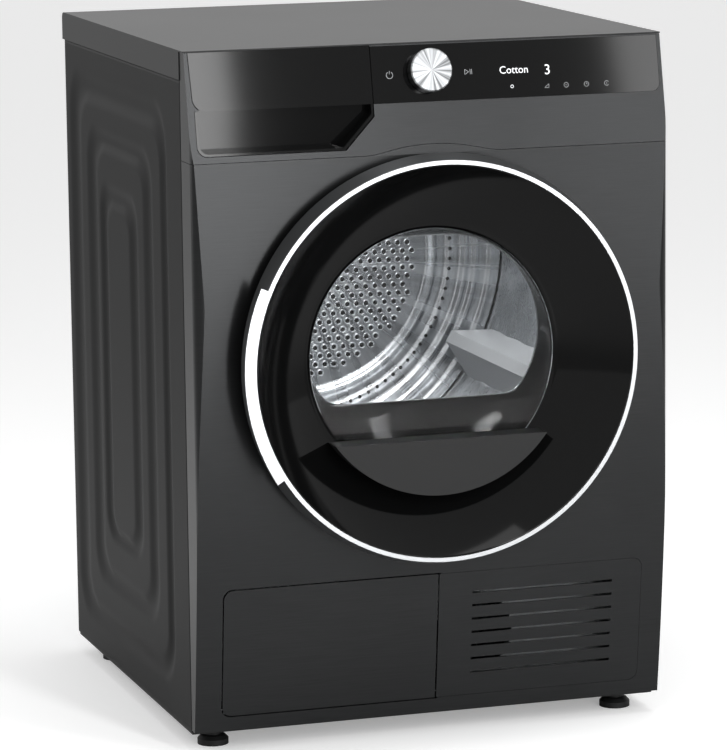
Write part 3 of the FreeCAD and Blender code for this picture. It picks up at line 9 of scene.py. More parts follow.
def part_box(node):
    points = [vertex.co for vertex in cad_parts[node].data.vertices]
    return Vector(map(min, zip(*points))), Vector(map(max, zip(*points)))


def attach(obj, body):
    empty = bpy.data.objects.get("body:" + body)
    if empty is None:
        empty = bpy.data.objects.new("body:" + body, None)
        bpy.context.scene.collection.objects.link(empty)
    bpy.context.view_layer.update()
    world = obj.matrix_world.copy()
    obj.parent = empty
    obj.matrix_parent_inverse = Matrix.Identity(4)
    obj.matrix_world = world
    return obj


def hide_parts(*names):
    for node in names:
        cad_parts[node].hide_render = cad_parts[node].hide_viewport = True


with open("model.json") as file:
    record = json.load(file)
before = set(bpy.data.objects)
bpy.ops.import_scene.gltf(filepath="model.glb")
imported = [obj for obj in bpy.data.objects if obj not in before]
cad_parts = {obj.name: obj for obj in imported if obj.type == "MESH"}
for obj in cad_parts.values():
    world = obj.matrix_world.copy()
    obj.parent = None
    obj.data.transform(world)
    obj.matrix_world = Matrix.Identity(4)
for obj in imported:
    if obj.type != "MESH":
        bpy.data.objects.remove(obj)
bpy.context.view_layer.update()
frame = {"nodes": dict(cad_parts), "record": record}


MM = 0.001

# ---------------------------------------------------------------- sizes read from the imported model
FASCIA_LOW, FASCIA_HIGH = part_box("control_fascia")
RING_LOW, RING_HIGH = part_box("door_ring")
DOOR_Z = (RING_LOW[2] + RING_HIGH[2]) / 2
LEAN = math.radians(11.87)
DIAL_X, DIAL_Z = 0.0, 0.815


def fascia_y(z):
    """Depth of the leaning fascia's face at height z: a straight line from its foot."""
    return FASCIA_LOW[1] + (z - FASCIA_LOW[2]) * math.tan(LEAN)


# ---------------------------------------------------------------- shader groups
def new_group(name, inputs, outputs):
    """An empty shader group with named inputs (kind, default) and outputs (kind)."""
    group = bpy.data.node_groups.new(name, "ShaderNodeTree")
    for label, kind, default in inputs:
        socket = group.interface.new_socket(name=label, in_out="INPUT", socket_type="NodeSocket" + kind)
        if default is not None:
            socket.default_value = default
    for label, kind in outputs:
        group.interface.new_socket(name=label, in_out="OUTPUT", socket_type="NodeSocket" + kind)
    return group, group.nodes.new("NodeGroupInput"), group.nodes.new("NodeGroupOutput")


def math_node(tree, operation, first, second=None, clamp=False):
    """A Math node whose inputs are sockets or numbers; returns its output."""
    node = tree.nodes.new("ShaderNodeMath")
    node.operation = operation
    node.use_clamp = clamp
    for slot, value in enumerate((first, second)):
        if value is None:
            continue
        if isinstance(value, (int, float)):
            node.inputs[slot].default_value = value
        else:
            tree.links.new(value, node.inputs[slot])
    return node.outputs[0]


def mix_colours(tree, factor, first, second):
    """Colour between two sockets by a factor socket."""
    node = tree.nodes.new("ShaderNodeMix")
    node.data_type = "RGBA"
    tree.links.new(factor, node.inputs["Factor"])
    tree.links.new(first, node.inputs[6])
    tree.links.new(second, node.inputs[7])
    return node.outputs[2]


def build_grain():
    """Surface grain: stretched noise, plus broad cloudiness, mixes two colours and two roughnesses."""
    group, source, sink = new_group(
        "surface_grain",
        [("Vector", "Vector", None), ("Stretch", "Vector", (1.0, 1.0, 1.0)), ("Scale", "Float", 400.0),
         ("Colour", "Color", (0.1, 0.1, 0.1, 1)), ("Second Colour", "Color", (0.2, 0.2, 0.2, 1)),
         ("Roughness Low", "Float", 0.3), ("Roughness High", "Float", 0.5), ("Relief", "Float", 0.3)],
        [("Colour", "Color"), ("Roughness", "Float"), ("Height", "Float")])
    links = group.links
    stretch = group.nodes.new("ShaderNodeVectorMath")
    stretch.operation = "MULTIPLY"
    links.new(source.outputs["Vector"], stretch.inputs[0])
    links.new(source.outputs["Stretch"], stretch.inputs[1])
    fine = group.nodes.new("ShaderNodeTexNoise")
    fine.inputs["Detail"].default_value = 3.0
    links.new(stretch.outputs[0], fine.inputs["Vector"])
    links.new(source.outputs["Scale"], fine.inputs["Scale"])
    broad = group.nodes.new("ShaderNodeTexNoise")
    broad.inputs["Scale"].default_value = 5.0
    links.new(source.outputs["Vector"], broad.inputs["Vector"])
    blend = math_node(group, "MULTIPLY_ADD", fine.outputs["Fac"], 0.75)
    links.new(math_node(group, "MULTIPLY", broad.outputs["Fac"], 0.25), blend.node.inputs[2])
    links.new(mix_colours(group, blend, source.outputs["Colour"], source.outputs["Second Colour"]),
              sink.inputs["Colour"])
    spread = math_node(group, "SUBTRACT", source.outputs["Roughness High"], source.outputs["Roughness Low"])
    rough = math_node(group, "MULTIPLY", blend, spread)
    links.new(math_node(group, "ADD", rough, source.outputs["Roughness Low"]), sink.inputs["Roughness"])
    links.new(math_node(group, "MULTIPLY", fine.outputs["Fac"], source.outputs["Relief"]), sink.inputs["Height"])
    return group


def build_spun():
    """Streaks of a turned face: noise read by angle and radius about the part's own Y axis."""
    group, source, sink = new_group(
        "spun_streaks", [("Vector", "Vector", None), ("Count", "Float", 30.0)],
        [("Streak", "Float"), ("Radius", "Float")])
    split = group.nodes.new("ShaderNodeSeparateXYZ")
    group.links.new(source.outputs["Vector"], split.inputs[0])
    radius = group.nodes.new("ShaderNodeVectorMath")
    radius.operation = "LENGTH"
    flat = group.nodes.new("ShaderNodeCombineXYZ")
    group.links.new(split.outputs[0], flat.inputs[0])
    group.links.new(split.outputs[2], flat.inputs[1])
    group.links.new(flat.outputs[0], radius.inputs[0])
    unit = group.nodes.new("ShaderNodeVectorMath")
    unit.operation = "NORMALIZE"
    group.links.new(flat.outputs[0], unit.inputs[0])
    noise = group.nodes.new("ShaderNodeTexNoise")
    noise.inputs["Detail"].default_value = 4.0
    group.links.new(unit.outputs[0], noise.inputs["Vector"])
    group.links.new(source.outputs["Count"], noise.inputs["Scale"])
    group.links.new(noise.outputs["Fac"], sink.inputs["Streak"])
    group.links.new(radius.outputs["Value"], sink.inputs["Radius"])
    return group


GRAIN = build_grain()
SPUN = build_spun()


def finish(name, colour, second, rough=(0.3, 0.5), relief=0.2, stretch=(1, 1, 1), scale=400.0,
           bump=0.1, **uniform):
    """A Principled material whose colour, roughness and relief come from the grain group."""
    material = bpy.data.materials.new(name)
    material.use_nodes = True
    tree = material.node_tree
    shader = tree.nodes["Principled BSDF"]
    where = tree.nodes.new("ShaderNodeTexCoord")
    grain = tree.nodes.new("ShaderNodeGroup")
    grain.node_tree = GRAIN
    grain.inputs["Stretch"].default_value = stretch
    grain.inputs["Scale"].default_value = scale
    grain.inputs["Colour"].default_value = (*colour, 1)
    grain.inputs["Second Colour"].default_value = (*second, 1)
    grain.inputs["Roughness Low"].default_value = rough[0]
    grain.inputs["Roughness High"].default_value = rough[1]
    grain.inputs["Relief"].default_value = relief
    tree.links.new(where.outputs["Object"], grain.inputs["Vector"])
    tree.links.new(grain.outputs["Colour"], shader.inputs["Base Color"])
    tree.links.new(grain.outputs["Roughness"], shader.inputs["Roughness"])
    if bump:
        relief_node = tree.nodes.new("ShaderNodeBump")
        relief_node.inputs["Strength"].default_value = bump
        relief_node.inputs["Distance"].default_value = 0.0005
        tree.links.new(grain.outputs["Height"], relief_node.inputs["Height"])
        tree.links.new(relief_node.outputs["Normal"], shader.inputs["Normal"])
    for label, value in uniform.items():
        shader.inputs[label.replace("_", " ")].default_value = value
    return material


def grey(value, blue=1.05):
    """A neutral grey, a little cool."""
    return (value, value * (1 + (blue - 1) * 0.5), value * blue)


HAIRLINE = (1.0, 1.0, 60.0)
brushed_steel = finish("brushed_graphite", grey(0.016), grey(0.034), (0.26, 0.36), 0.25, HAIRLINE, 25.0,
                       0.1, Metallic=0.8, Specular_IOR_Level=0.2)
painted_steel = finish("painted_dark_sides", grey(0.004), grey(0.006), (0.4, 0.48), 0.3, scale=900.0,
                       Specular_IOR_Level=0.07)
cover_satin = finish("satin_dark_cover", grey(0.01), grey(0.015), (0.34, 0.42), 0.4, scale=1200.0,
                     Specular_IOR_Level=0.16)
MATERIALS = {
    "graphite_steel": brushed_steel,
    "side_steel": painted_steel,
    "cover_plastic": cover_satin,
    "black_plastic": finish("moulded_black", grey(0.005), grey(0.009), (0.45, 0.6), 0.5, scale=1500.0,
                            Specular_IOR_Level=0.25),
    "gloss_black": finish("piano_black", grey(0.0015), grey(0.003), (0.06, 0.1), 0.1, bump=0.0,
                          Specular_IOR_Level=0.14),
    "silver_ring": finish("satin_silver", grey(0.5), grey(0.6), (0.26, 0.34), 0.2, scale=1500.0,
                          Metallic=0.9),
    "dial_metal": finish("spun_silver", grey(0.6), grey(0.7), (0.2, 0.3), 0.2, scale=1500.0, Metallic=1.0),
    "stainless": finish("drum_stainless", grey(0.6), grey(0.7), (0.22, 0.34), 0.2, (1, 8, 1), 120.0,
                        Metallic=1.0),
    "galvanised": finish("galvanised_sheet", grey(0.35), grey(0.5), (0.35, 0.55), 0.3, scale=60.0,
                         Metallic=0.9),
    "clear_glass": finish("door_glass", (0.95, 0.96, 0.97), (1, 1, 1), (0.0, 0.02), 0.0, bump=0.0,
                          Transmission_Weight=1.0, IOR=1.2),
    "tank_plastic": finish("milky_tank", grey(0.45), grey(0.5), (0.35, 0.45), 0.3, scale=800.0),
    "dark_rubber": finish("soft_rubber", grey(0.015), grey(0.022), (0.6, 0.75), 0.6, scale=900.0),
    "felt": finish("grey_felt", grey(0.18), grey(0.3), (0.85, 1.0), 1.0, scale=2500.0, bump=0.5),
    "circuit_green": finish("circuit_board", (0.01, 0.08, 0.03), (0.02, 0.14, 0.05), (0.3, 0.5), 0.5,
                            scale=300.0),
    "copper": finish("copper_tube", (0.6, 0.25, 0.13), (0.45, 0.17, 0.09), (0.22, 0.45), 0.2,
                     scale=120.0, Metallic=1.0),
    "fin_aluminium": finish("fin_stack", grey(0.35), grey(0.75), (0.3, 0.45), 1.0, (900, 1, 1), 1.0, 0.6,
                            Metallic=0.9),
    "light_plastic": finish("light_housing", grey(0.42), grey(0.48), (0.4, 0.5), 0.4, scale=900.0),
    "cast_motor": finish("cast_alloy", grey(0.25), grey(0.36), (0.45, 0.65), 0.8, scale=500.0, bump=0.3,
                         Metallic=0.8),
}
print_white = finish("printed_white", grey(0.75), grey(0.8), (0.4, 0.5), 0.1, scale=900.0, bump=0.0,
                     Emission_Color=(1, 1, 1, 1), Emission_Strength=0.25)
print_grey = finish("printed_grey", grey(0.25), grey(0.3), (0.4, 0.5), 0.1, scale=900.0, bump=0.0)
# painted shade: flat near-black discs stand for the shadow seen through the drum's holes and dots
painted_hole_shade = finish("hole_painted_shade", grey(0.005), grey(0.01), (0.6, 0.8), 0.2, scale=900.0)



def spun_finish(name, centre, turn, count, colour, second, rough, edge=None, **uniform):
    """A turned metal face: streaks about the piece's own axis mix two colours and two roughnesses."""
    material = bpy.data.materials.new(name)
    material.use_nodes = True
    tree = material.node_tree
    shader = tree.nodes["Principled BSDF"]
    where = tree.nodes.new("ShaderNodeTexCoord")
    centring = tree.nodes.new("ShaderNodeMapping")
    centring.vector_type = "TEXTURE"
    centring.inputs["Location"].default_value = centre
    centring.inputs["Rotation"].default_value = (turn, 0, 0)
    spun = tree.nodes.new("ShaderNodeGroup")
    spun.node_tree = SPUN
    spun.inputs["Count"].default_value = count
    tree.links.new(where.outputs["Object"], centring.inputs["Vector"])
    tree.links.new(centring.outputs["Vector"], spun.inputs["Vector"])
    ramp = tree.nodes.new("ShaderNodeValToRGB")
    ramp.color_ramp.elements[0].position = 0.35
    ramp.color_ramp.elements[0].color = (*colour, 1)
    ramp.color_ramp.elements[1].position = 0.65
    ramp.color_ramp.elements[1].color = (*second, 1)
    tree.links.new(spun.outputs["Streak"], ramp.inputs["Fac"])
    tree.links.new(ramp.outputs["Color"], shader.inputs["Base Color"])
    rough_range = tree.nodes.new("ShaderNodeMapRange")
    rough_range.inputs["To Min"].default_value = rough[0]
    rough_range.inputs["To Max"].default_value = rough[1]
    tree.links.new(spun.outputs["Streak"], rough_range.inputs["Value"])
    tree.links.new(rough_range.outputs["Result"], shader.inputs["Roughness"])
    for label, value in uniform.items():
        shader.inputs[label.replace("_", " ")].default_value = value
    return material


MATERIALS["dial_metal"] = spun_finish("spun_dial", (DIAL_X, fascia_y(DIAL_Z), DIAL_Z), -LEAN, 5.0,
                                      grey(0.08), grey(0.42), (0.24, 0.36), Metallic=1.0)


def ring_silver_with_painted_flank_shade():
    """Satin silver on the ring's front face, blended by depth into a painted shade colour along its flank, where
    the flank lies in shadow.
    """
    material = finish("door_ring_silver_painted_shade", grey(0.42), grey(0.5), (0.3, 0.38), 0.2, scale=1500.0, Metallic=0.95)
    tree = material.node_tree
    shader = tree.nodes["Principled BSDF"]
    silver = shader.inputs["Base Color"].links[0].from_socket
    split = tree.nodes.new("ShaderNodeSeparateXYZ")
    tree.links.new(tree.nodes["Texture Coordinate"].outputs["Object"], split.inputs[0])
    flank = tree.nodes.new("ShaderNodeMapRange")
    flank.inputs["From Min"].default_value = RING_LOW[1] + 0.0006
    flank.inputs["From Max"].default_value = RING_LOW[1] + 0.003
    tree.links.new(split.outputs[1], flank.inputs["Value"])
    # painted shade: the flank's shadow is a darker grey painted into the colour, blended in by object depth
    painted_flank_shade = tree.nodes.new("ShaderNodeRGB")
    painted_flank_shade.outputs[0].default_value = (*grey(0.2), 1)
    tree.links.new(mix_colours(tree, flank.outputs["Result"], silver, painted_flank_shade.outputs[0]), shader.inputs["Base Color"])
    return material


MATERIALS["silver_ring"] = ring_silver_with_painted_flank_shade()

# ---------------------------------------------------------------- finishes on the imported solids
for part in frame["record"]["subparts"]:
    solid = frame["nodes"][part["node"]]
    solid.data.materials.clear()
    solid.data.materials.append(MATERIALS[part["material_slot"]])


# ---------------------------------------------------------------- mesh helpers
def grid_faces(rows, columns, wrap_rows=False, wrap_columns=False):
    """Quads of a rows by columns grid, as vertex numbers: each cell joins a point to its next row and column."""
    row = np.arange(rows if wrap_rows else rows - 1)[:, None]
    column = np.arange(columns if wrap_columns else columns - 1)[None, :]
    next_row, next_column = (row + 1) % rows, (column + 1) % columns
    quads = np.stack(np.broadcast_arrays(row * columns + column, row * columns + next_column,
                                         next_row * columns + next_column, next_row * columns + column), -1)
    return quads.reshape(-1, 4)


def make_piece(name, points, faces, material, body, smooth=True):
    """A mesh object from arrays of points and quads, riding on a body and finished in a slot."""
    mesh = bpy.data.meshes.new(name)
    mesh.from_pydata(np.asarray(points, float).reshape(-1, 3).tolist(), [], np.asarray(faces).tolist())
    mesh.validate()
    mesh.materials.append(material)
    mesh.polygons.foreach_set("use_smooth", np.full(len(mesh.polygons), smooth))
    piece = bpy.data.objects.new(name, mesh)
    bpy.context.scene.collection.objects.link(piece)
    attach(piece, body)
    return piece


def outward(piece):
    """Turns a closed piece's faces outwards."""
    import bmesh
    work = bmesh.new()
    work.from_mesh(piece.data)
    bmesh.ops.remove_doubles(work, verts=work.verts, dist=1e-7)
    bmesh.ops.recalc_face_normals(work, faces=work.faces)
    work.to_mesh(piece.data)
    work.free()
    return piece


def closed_sheet(name, outer, inner, material, body):
    """A sheet with a wall: outer and inner point grids of one shape, joined round their border."""
    rows, columns = outer.shape[:2]
    count = rows * columns
    faces = grid_faces(rows, columns)
    number = np.arange(count).reshape(rows, columns)
    border = np.concatenate([number[0, :-1], number[:-1, -1], number[-1, :0:-1], number[:0:-1, 0]])
    following = np.roll(border, -1)
    rim = np.stack([border, following, following + count, border + count], -1)
    whole = np.concatenate([faces, faces[:, ::-1] + count, rim])
    points = np.concatenate([outer.reshape(-1, 3), inner.reshape(-1, 3)])
    return outward(make_piece(name, points, whole, material, body))


def lathe(name, profile, centre_z, steps, material, body, wave=None, smooth=True):
    """A closed profile of (radius, y) turned about the Y axis through (0, centre_z); wave adds to the radius."""
    profile = np.asarray(profile, float)
    angle = np.linspace(0, 2 * np.pi, steps, endpoint=False)[None, :]
    radius = np.repeat(profile[:, :1], steps, 1)
    depth = np.repeat(profile[:, 1:], steps, 1)
    if wave is not None:
        radius = radius + wave(angle, depth)
    points = np.stack([radius * np.cos(angle), depth, centre_z + radius * np.sin(angle)], -1)
    faces = grid_faces(len(profile), steps, True, True)
    return outward(make_piece(name, points, faces, material, body, smooth))


# ---------------------------------------------------------------- pressed side panels
GROOVES = (((-171, 305, 60, 785, 58), (-140, 244, 90, 741, 40)),
           ((-104, 218, 123, 720, 50), (-57, 163, 151, 687, 34)),
           ((-32, 155, 190, 653, 40), (13, 117, 208, 618, 26)))


def rounded_distance(y, z, loop):
    """Distance from a rounded rectangle (y low, y high, z low, z high, corner), minus inside, in mm."""
    y_low, y_high, z_low, z_high, corner = loop
    across = np.abs(y - (y_low + y_high) / 2) - (y_high - y_low) / 2 + corner
    along = np.abs(z - (z_low + z_high) / 2) - (z_high - z_low) / 2 + corner
    outside = np.hypot(np.maximum(across, 0), np.maximum(along, 0))
    return outside + np.minimum(np.maximum(across, along), 0) - corner


def groove_depth(y, z):
    """Three nested grooves: between each outer and inner loop the depth is a half wave, zero elsewhere."""
    depth = np.zeros_like(y)
    for outer_loop, inner_loop in GROOVES:
        to_outer = -rounded_distance(y, z, outer_loop)
        to_inner = rounded_distance(y, z, inner_loop)
        share = to_outer / np.maximum(to_outer + to_inner, 1e-6)
        inside = (to_outer > 0) & (to_inner > 0)
        depth = np.where(inside, 3.2 * np.sin(np.pi * np.clip(share, 0, 1)) ** 1.5, depth)
    return depth * MM


def make_side(name, node, side):
    """A pressed side: a flat grid whose depth is the nested grooves, with a 1.2 mm wall."""
    low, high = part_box(node)
    y, z = np.meshgrid(np.linspace(low[1], high[1], 120), np.linspace(low[2], high[2], 170), indexing="ij")
    face = low[0] if side < 0 else high[0]
    depth = groove_depth(y / MM, z / MM)
    outer = np.stack([face - side * depth, y, z], -1)
    inner = outer - np.array([side * 1.2 * MM, 0, 0])
    piece = closed_sheet(name, outer, inner, painted_steel, "cabinet")
    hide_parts(node)


make_side("left_pressed_side", "left_side_panel", -1)
make_side("right_pressed_side", "right_side_panel", 1)

# ---------------------------------------------------------------- drum
DRUM_Z = 0.52
WALL_LOW, WALL_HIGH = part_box("drum_rear_wall")
drum_back_finish = spun_finish("drum_back_steel", (0, 0, DRUM_Z), 0, 9.0, grey(0.45), grey(0.7),
                               (0.2, 0.34), Metallic=1.0)


def drum_back_profile():
    """Rear wall from centre to rim: flat, a bead at 185, a dotted step at 210 and two ribs beyond."""
    radius = np.linspace(0, 281, 150)
    relief = (7 * np.exp(-((radius - 185) / 5) ** 2) + 3 * np.exp(-((radius - 209) / 4) ** 2)
              + 5 * np.exp(-((radius - 231) / 5) ** 2) + 5 * np.exp(-((radius - 246) / 5) ** 2)
              + 4 * np.exp(-((radius - 268) / 4) ** 2))
    front = WALL_LOW[1] - 0.001 - relief * MM
    back = front + 0.0008
    radius[0] = 0.01
    return np.concatenate([np.stack([radius * MM, front], -1), np.stack([radius * MM, back], -1)[::-1]])


drum_back = lathe("drum_back_relief", drum_back_profile(), DRUM_Z, 180, drum_back_finish, "drum")
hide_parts("drum_rear_wall")


def facet_wave(angle, depth):
    """Diamond facets: two crossed triangle waves of angle and depth, faded out at both ends."""
    along = depth / 0.036
    around = angle * 24 / np.pi
    first = np.abs((along + around) % 2 - 1)
    second = np.abs((along - around) % 2 - 1)
    fade = np.clip((depth + 0.19) / 0.02, 0, 1) * np.clip((0.25 - depth) / 0.02, 0, 1)
    return -0.0035 * np.minimum(first, second) * fade


liner_depth = np.linspace(-0.195, 0.262, 92)
liner_profile = np.concatenate([np.stack([np.full(92, 0.2822), liner_depth], -1),
                                np.stack([np.full(92, 0.2826), liner_depth], -1)[::-1]])
liner = lathe("drum_liner", liner_profile, DRUM_Z, 384, MATERIALS["stainless"], "drum",
              lambda angle, depth: facet_wave(angle, depth), smooth=False)


def hole_centres(pitch, reach):
    """Centres of a triangular lattice within a radius: rows a root-three half pitch apart, every other shifted."""
    steps = np.arange(-40, 41)
    column, row = np.meshgrid(steps, steps)
    x = (column + 0.5 * (row % 2)) * pitch
    z = row * pitch * math.sqrt(3) / 2
    keep = np.hypot(x, z) < reach
    return np.stack([x[keep], z[keep]], -1)


def repeated_rings(name, centres, profile, steps, material, y, centre_z):
    """Small turned pieces at every centre: one closed profile of (radius, y) turned in steps, then copied."""
    profile = np.asarray(profile, float)
    angle = np.linspace(0, 2 * np.pi, steps, endpoint=False)
    x = profile[:, :1] * np.cos(angle)
    z = profile[:, :1] * np.sin(angle)
    depth = np.repeat(profile[:, 1:], steps, 1)
    one = np.stack([x, y + depth, centre_z + z], -1).reshape(1, -1, 3)
    shift = np.stack([centres[:, 0], np.zeros(len(centres)), centres[:, 1]], -1)[:, None, :]
    faces = grid_faces(len(profile), steps, False, True)
    count = one.shape[1]
    every = faces[None] + (np.arange(len(centres)) * count)[:, None, None]
    return make_piece(name, (one + shift).reshape(-1, 3), every.reshape(-1, 4), material, "drum")


CENTRES = hole_centres(0.013, 0.160)
BACK_Y = WALL_LOW[1] - 0.001
repeated_rings("drum_hole_collars", CENTRES,
               [(0.0053, 0), (0.0047, -0.0009), (0.0038, -0.0011), (0.0031, -0.0005), (0.003, 0.0002)], 12,
               drum_back_finish, BACK_Y, DRUM_Z)
# the holes are discs of painted shade set inside the collars, not openings
repeated_rings("drum_holes", CENTRES, [(0.0031, -0.0002), (0.0005, -0.0002), (0.00001, -0.0002)], 12,
               painted_hole_shade, BACK_Y, DRUM_Z)
DOTS = np.stack([0.209 * np.cos(np.linspace(0, 2 * np.pi, 96, endpoint=False)),
                 0.209 * np.sin(np.linspace(0, 2 * np.pi, 96, endpoint=False))], -1)
# the dots are also discs of painted shade
repeated_rings("drum_dots", DOTS, [(0.0026, 0), (0.0005, 0), (0.00001, 0)], 8, painted_hole_shade,
               BACK_Y - 0.0032, DRUM_Z)

# ---------------------------------------------------------------- door dish and bowl
DISH_RIM = (0.2367, RING_LOW[1])
DISH_HUB = (0.160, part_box("door_dish")[1][1] - 0.003)
DISH_SAG = 0.0038


def dish_profile():
    """The dish's section: a shallow hollow arc from rim to hub, the flat hub, and back with a 1.2 mm wall."""
    share = np.linspace(0, 1, 40)
    run = np.array([DISH_HUB[0] - DISH_RIM[0], DISH_HUB[1] - DISH_RIM[1]])
    across = np.array([run[1], -run[0]]) / np.hypot(*run)
    arc = np.array(DISH_RIM) + share[:, None] * run + (4 * DISH_SAG * share * (1 - share))[:, None] * across
    front = np.concatenate([arc, [(0.1545, DISH_HUB[1])]])
    back = front + np.array([0.0004, 0.0012])
    return np.concatenate([front, back[::-1]])


dish = lathe("door_dish_shell", dish_profile(), DOOR_Z, 256, MATERIALS["gloss_black"], "door")
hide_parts("door_dish")
BOWL_LOW, BOWL_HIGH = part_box("door_bowl")
PANE_HALF, PANE_RADIUS, PANE_Z, PANE_FLOOR = 0.031, 0.119, 0.495, 0.413


def pane_outline(angle):
    """The rear pane's edge in polar form: two arcs joined by a level top, cut flat at the floor."""
    run, rise = np.abs(np.cos(angle)), np.abs(np.sin(angle))
    arcs = PANE_HALF * run + np.sqrt(PANE_RADIUS ** 2 - (PANE_HALF * rise) ** 2)
    level = PANE_RADIUS / np.maximum(rise, 1e-6)
    reach = np.where(level * run < PANE_HALF, level, arcs)
    floor = (PANE_Z - PANE_FLOOR) / np.maximum(-np.sin(angle), 1e-6)
    return 1 / (reach ** -24.0 + floor ** -24.0) ** (1 / 24)


def bowl_wall():
    """Dark bowl: a loft from the front circle to the rear pane's outline, bulging a little, with a 1.5 mm wall."""
    angle = np.linspace(0, 2 * np.pi, 256, endpoint=False)[None, :]
    share = np.linspace(0, 1, 16)[:, None]
    bulge = np.sin(share * np.pi / 2) ** 1.6
    rows = []
    for wall in (0.0, 0.0015):
        start, end = 0.1530 + wall, pane_outline(angle) + wall
        x = (1 - bulge) * start * np.cos(angle) + bulge * end * np.cos(angle)
        z = (1 - bulge) * (DOOR_Z + start * np.sin(angle)) + bulge * (PANE_Z + end * np.sin(angle))
        y = BOWL_LOW[1] + 0.0004 + share * (BOWL_HIGH[1] - 0.0010 - BOWL_LOW[1]) + 0 * x
        rows.append(np.stack([x, y, z], -1))
    points = np.concatenate([rows[0], rows[1][::-1]])
    return outward(make_piece("bowl_side", points, grid_faces(32, 256, True, True), MATERIALS["gloss_black"],
                              "door"))


def pane_disc(name, grow, y_front, y_back, material):
    """A flat closed pane: the outline scaled from its centre, front and back, its middle closed by a point."""
    angle = np.linspace(0, 2 * np.pi, 256, endpoint=False)[None, :]
    scale = np.array([0.0005, 0.5, 1, 1, 0.5, 0.0005])[:, None]
    reach = (pane_outline(angle) + grow) * scale
    depth = np.array([y_front] * 3 + [y_back] * 3)[:, None] + 0 * reach
    points = np.stack([reach * np.cos(angle), depth, PANE_Z + reach * np.sin(angle)], -1)
    return outward(make_piece(name, points, grid_faces(6, 256, True, True), material, "door", False))


def pane_rim():
    """Thin light rim round the rear pane: a small rounded section carried along the outline."""
    angle = np.linspace(0, 2 * np.pi, 256, endpoint=False)[None, :]
    section = np.linspace(0, 2 * np.pi, 8, endpoint=False)[:, None]
    reach = pane_outline(angle) + 0.0008 * np.cos(section)
    depth = BOWL_HIGH[1] - 0.0030 + 0.0008 * np.sin(section) + 0 * reach
    points = np.stack([reach * np.cos(angle), depth, PANE_Z + reach * np.sin(angle)], -1)
    return outward(make_piece("bowl_rim", points, grid_faces(8, 256, True, True), MATERIALS["silver_ring"],
                              "door"))


side_wall = bowl_wall()
pane = pane_disc("bowl_pane", -0.0004, BOWL_HIGH[1] - 0.0028, BOWL_HIGH[1] - 0.0008, MATERIALS["clear_glass"])
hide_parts("door_bowl")
pane_rim()

# ---------------------------------------------------------------- words and signs on the window
LIFT = 0.0003


def on_fascia(x, z):
    """Points of the leaning face: y follows height, a little in front of the glass."""
    return np.stack([x, fascia_y(z) - LIFT, z], -1)


def strokes(name, lines, centre, size, width, material):
    """Flat strokes along lines of (x, z) in units of size: each line is offset to both sides by half a width."""
    points, faces = [], []
    for line in lines:
        path = np.asarray(line, float) * size
        step = np.gradient(path, axis=0)
        normal = np.stack([-step[:, 1], step[:, 0]], -1)
        normal /= np.maximum(np.linalg.norm(normal, axis=1, keepdims=True), 1e-9)
        sides = np.stack([path + normal * width / 2, path - normal * width / 2], 1)
        start = sum(len(chunk) for chunk in points)
        flat = sides.reshape(-1, 2) + np.asarray(centre)
        points.append(on_fascia(flat[:, 0], flat[:, 1]))
        faces.append(grid_faces(len(path), 2) + start)
    piece = make_piece(name, np.concatenate(points), np.concatenate(faces), material, "cabinet")
    wall = piece.modifiers.new("thickness", "SOLIDIFY")
    wall.thickness = 0.0001
    return piece


def circle(radius, start=0, end=360, count=33):
    """Points of an arc, in degrees from the right."""
    angle = np.radians(np.linspace(start, end, count))
    return np.stack([radius * np.cos(angle), radius * np.sin(angle)], -1)


def word(name, text, x, z, height, material):
    """Lettering made a mesh, its left foot at (x, z) on the leaning face."""
    curve = bpy.data.curves.new(name, "FONT")
    curve.body = text
    curve.size = height / 0.72
    curve.extrude = 0.00005
    curve.resolution_u = 4
    carrier = bpy.data.objects.new(name + "_curve", curve)
    bpy.context.scene.collection.objects.link(carrier)
    mesh = bpy.data.meshes.new_from_object(carrier)
    bpy.data.objects.remove(carrier)
    flat = np.empty(len(mesh.vertices) * 3)
    mesh.vertices.foreach_get("co", flat)
    flat = flat.reshape(-1, 3)
    placed = on_fascia(flat[:, 0] + x, flat[:, 1] + z)
    placed[:, 1] -= flat[:, 2]
    mesh.vertices.foreach_set("co", placed.ravel())
    mesh.materials.clear()
    mesh.materials.append(material)
    piece = bpy.data.objects.new(name, mesh)
    bpy.context.scene.collection.objects.link(piece)
    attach(piece, "cabinet")
    return piece


word("display_programme", "Cotton", 0.090, 0.8085, 0.009, print_white)
word("display_number", "3", 0.147, 0.8055, 0.0122, print_white)
strokes("mark_round", [circle(1)], (0.105, 0.793), 0.0017, 0.0007, print_white)
strokes("sign_power", [circle(1, 120, 420), [(0, 0.3), (0, 1.25)]], (-0.048, 0.8125), 0.0040, 0.0008, print_grey)
strokes("sign_start", [[(-1.2, -0.8), (-1.2, 0.8)], [(-1.2, 0.8), (0.1, 0)], [(0.1, 0), (-1.2, -0.8)],
                       [(0.6, -0.8), (0.6, 0.8)], [(1.1, -0.8), (1.1, 0.8)]], (0.051, 0.8125), 0.0038, 0.0008,
        print_grey)
strokes("key_dryness", [[(-1, -0.8), (1, -0.8)], [(1, -0.8), (1, 0.8)], [(1, 0.8), (-1, -0.8)]], (0.149, 0.792),
        0.0028, 0.0006, print_grey)
strokes("key_drop", [circle(1), [(-0.4, 0), (0.4, 0)]], (0.174, 0.792), 0.0028, 0.0006, print_grey)
strokes("key_clock", [circle(1), [(0, 0.6), (0, 0)], [(0, 0), (0.5, 0)]], (0.200, 0.792), 0.0028, 0.0006,
        print_grey)
strokes("key_care", [circle(1, 30, 330), [(0, -0.4), (0, 0.4)]], (0.226, 0.792), 0.0028, 0.0006, print_grey)

# ---------------------------------------------------------------- stage, lamps and camera
PALE = (0.9, 0.9, 0.9, 1)


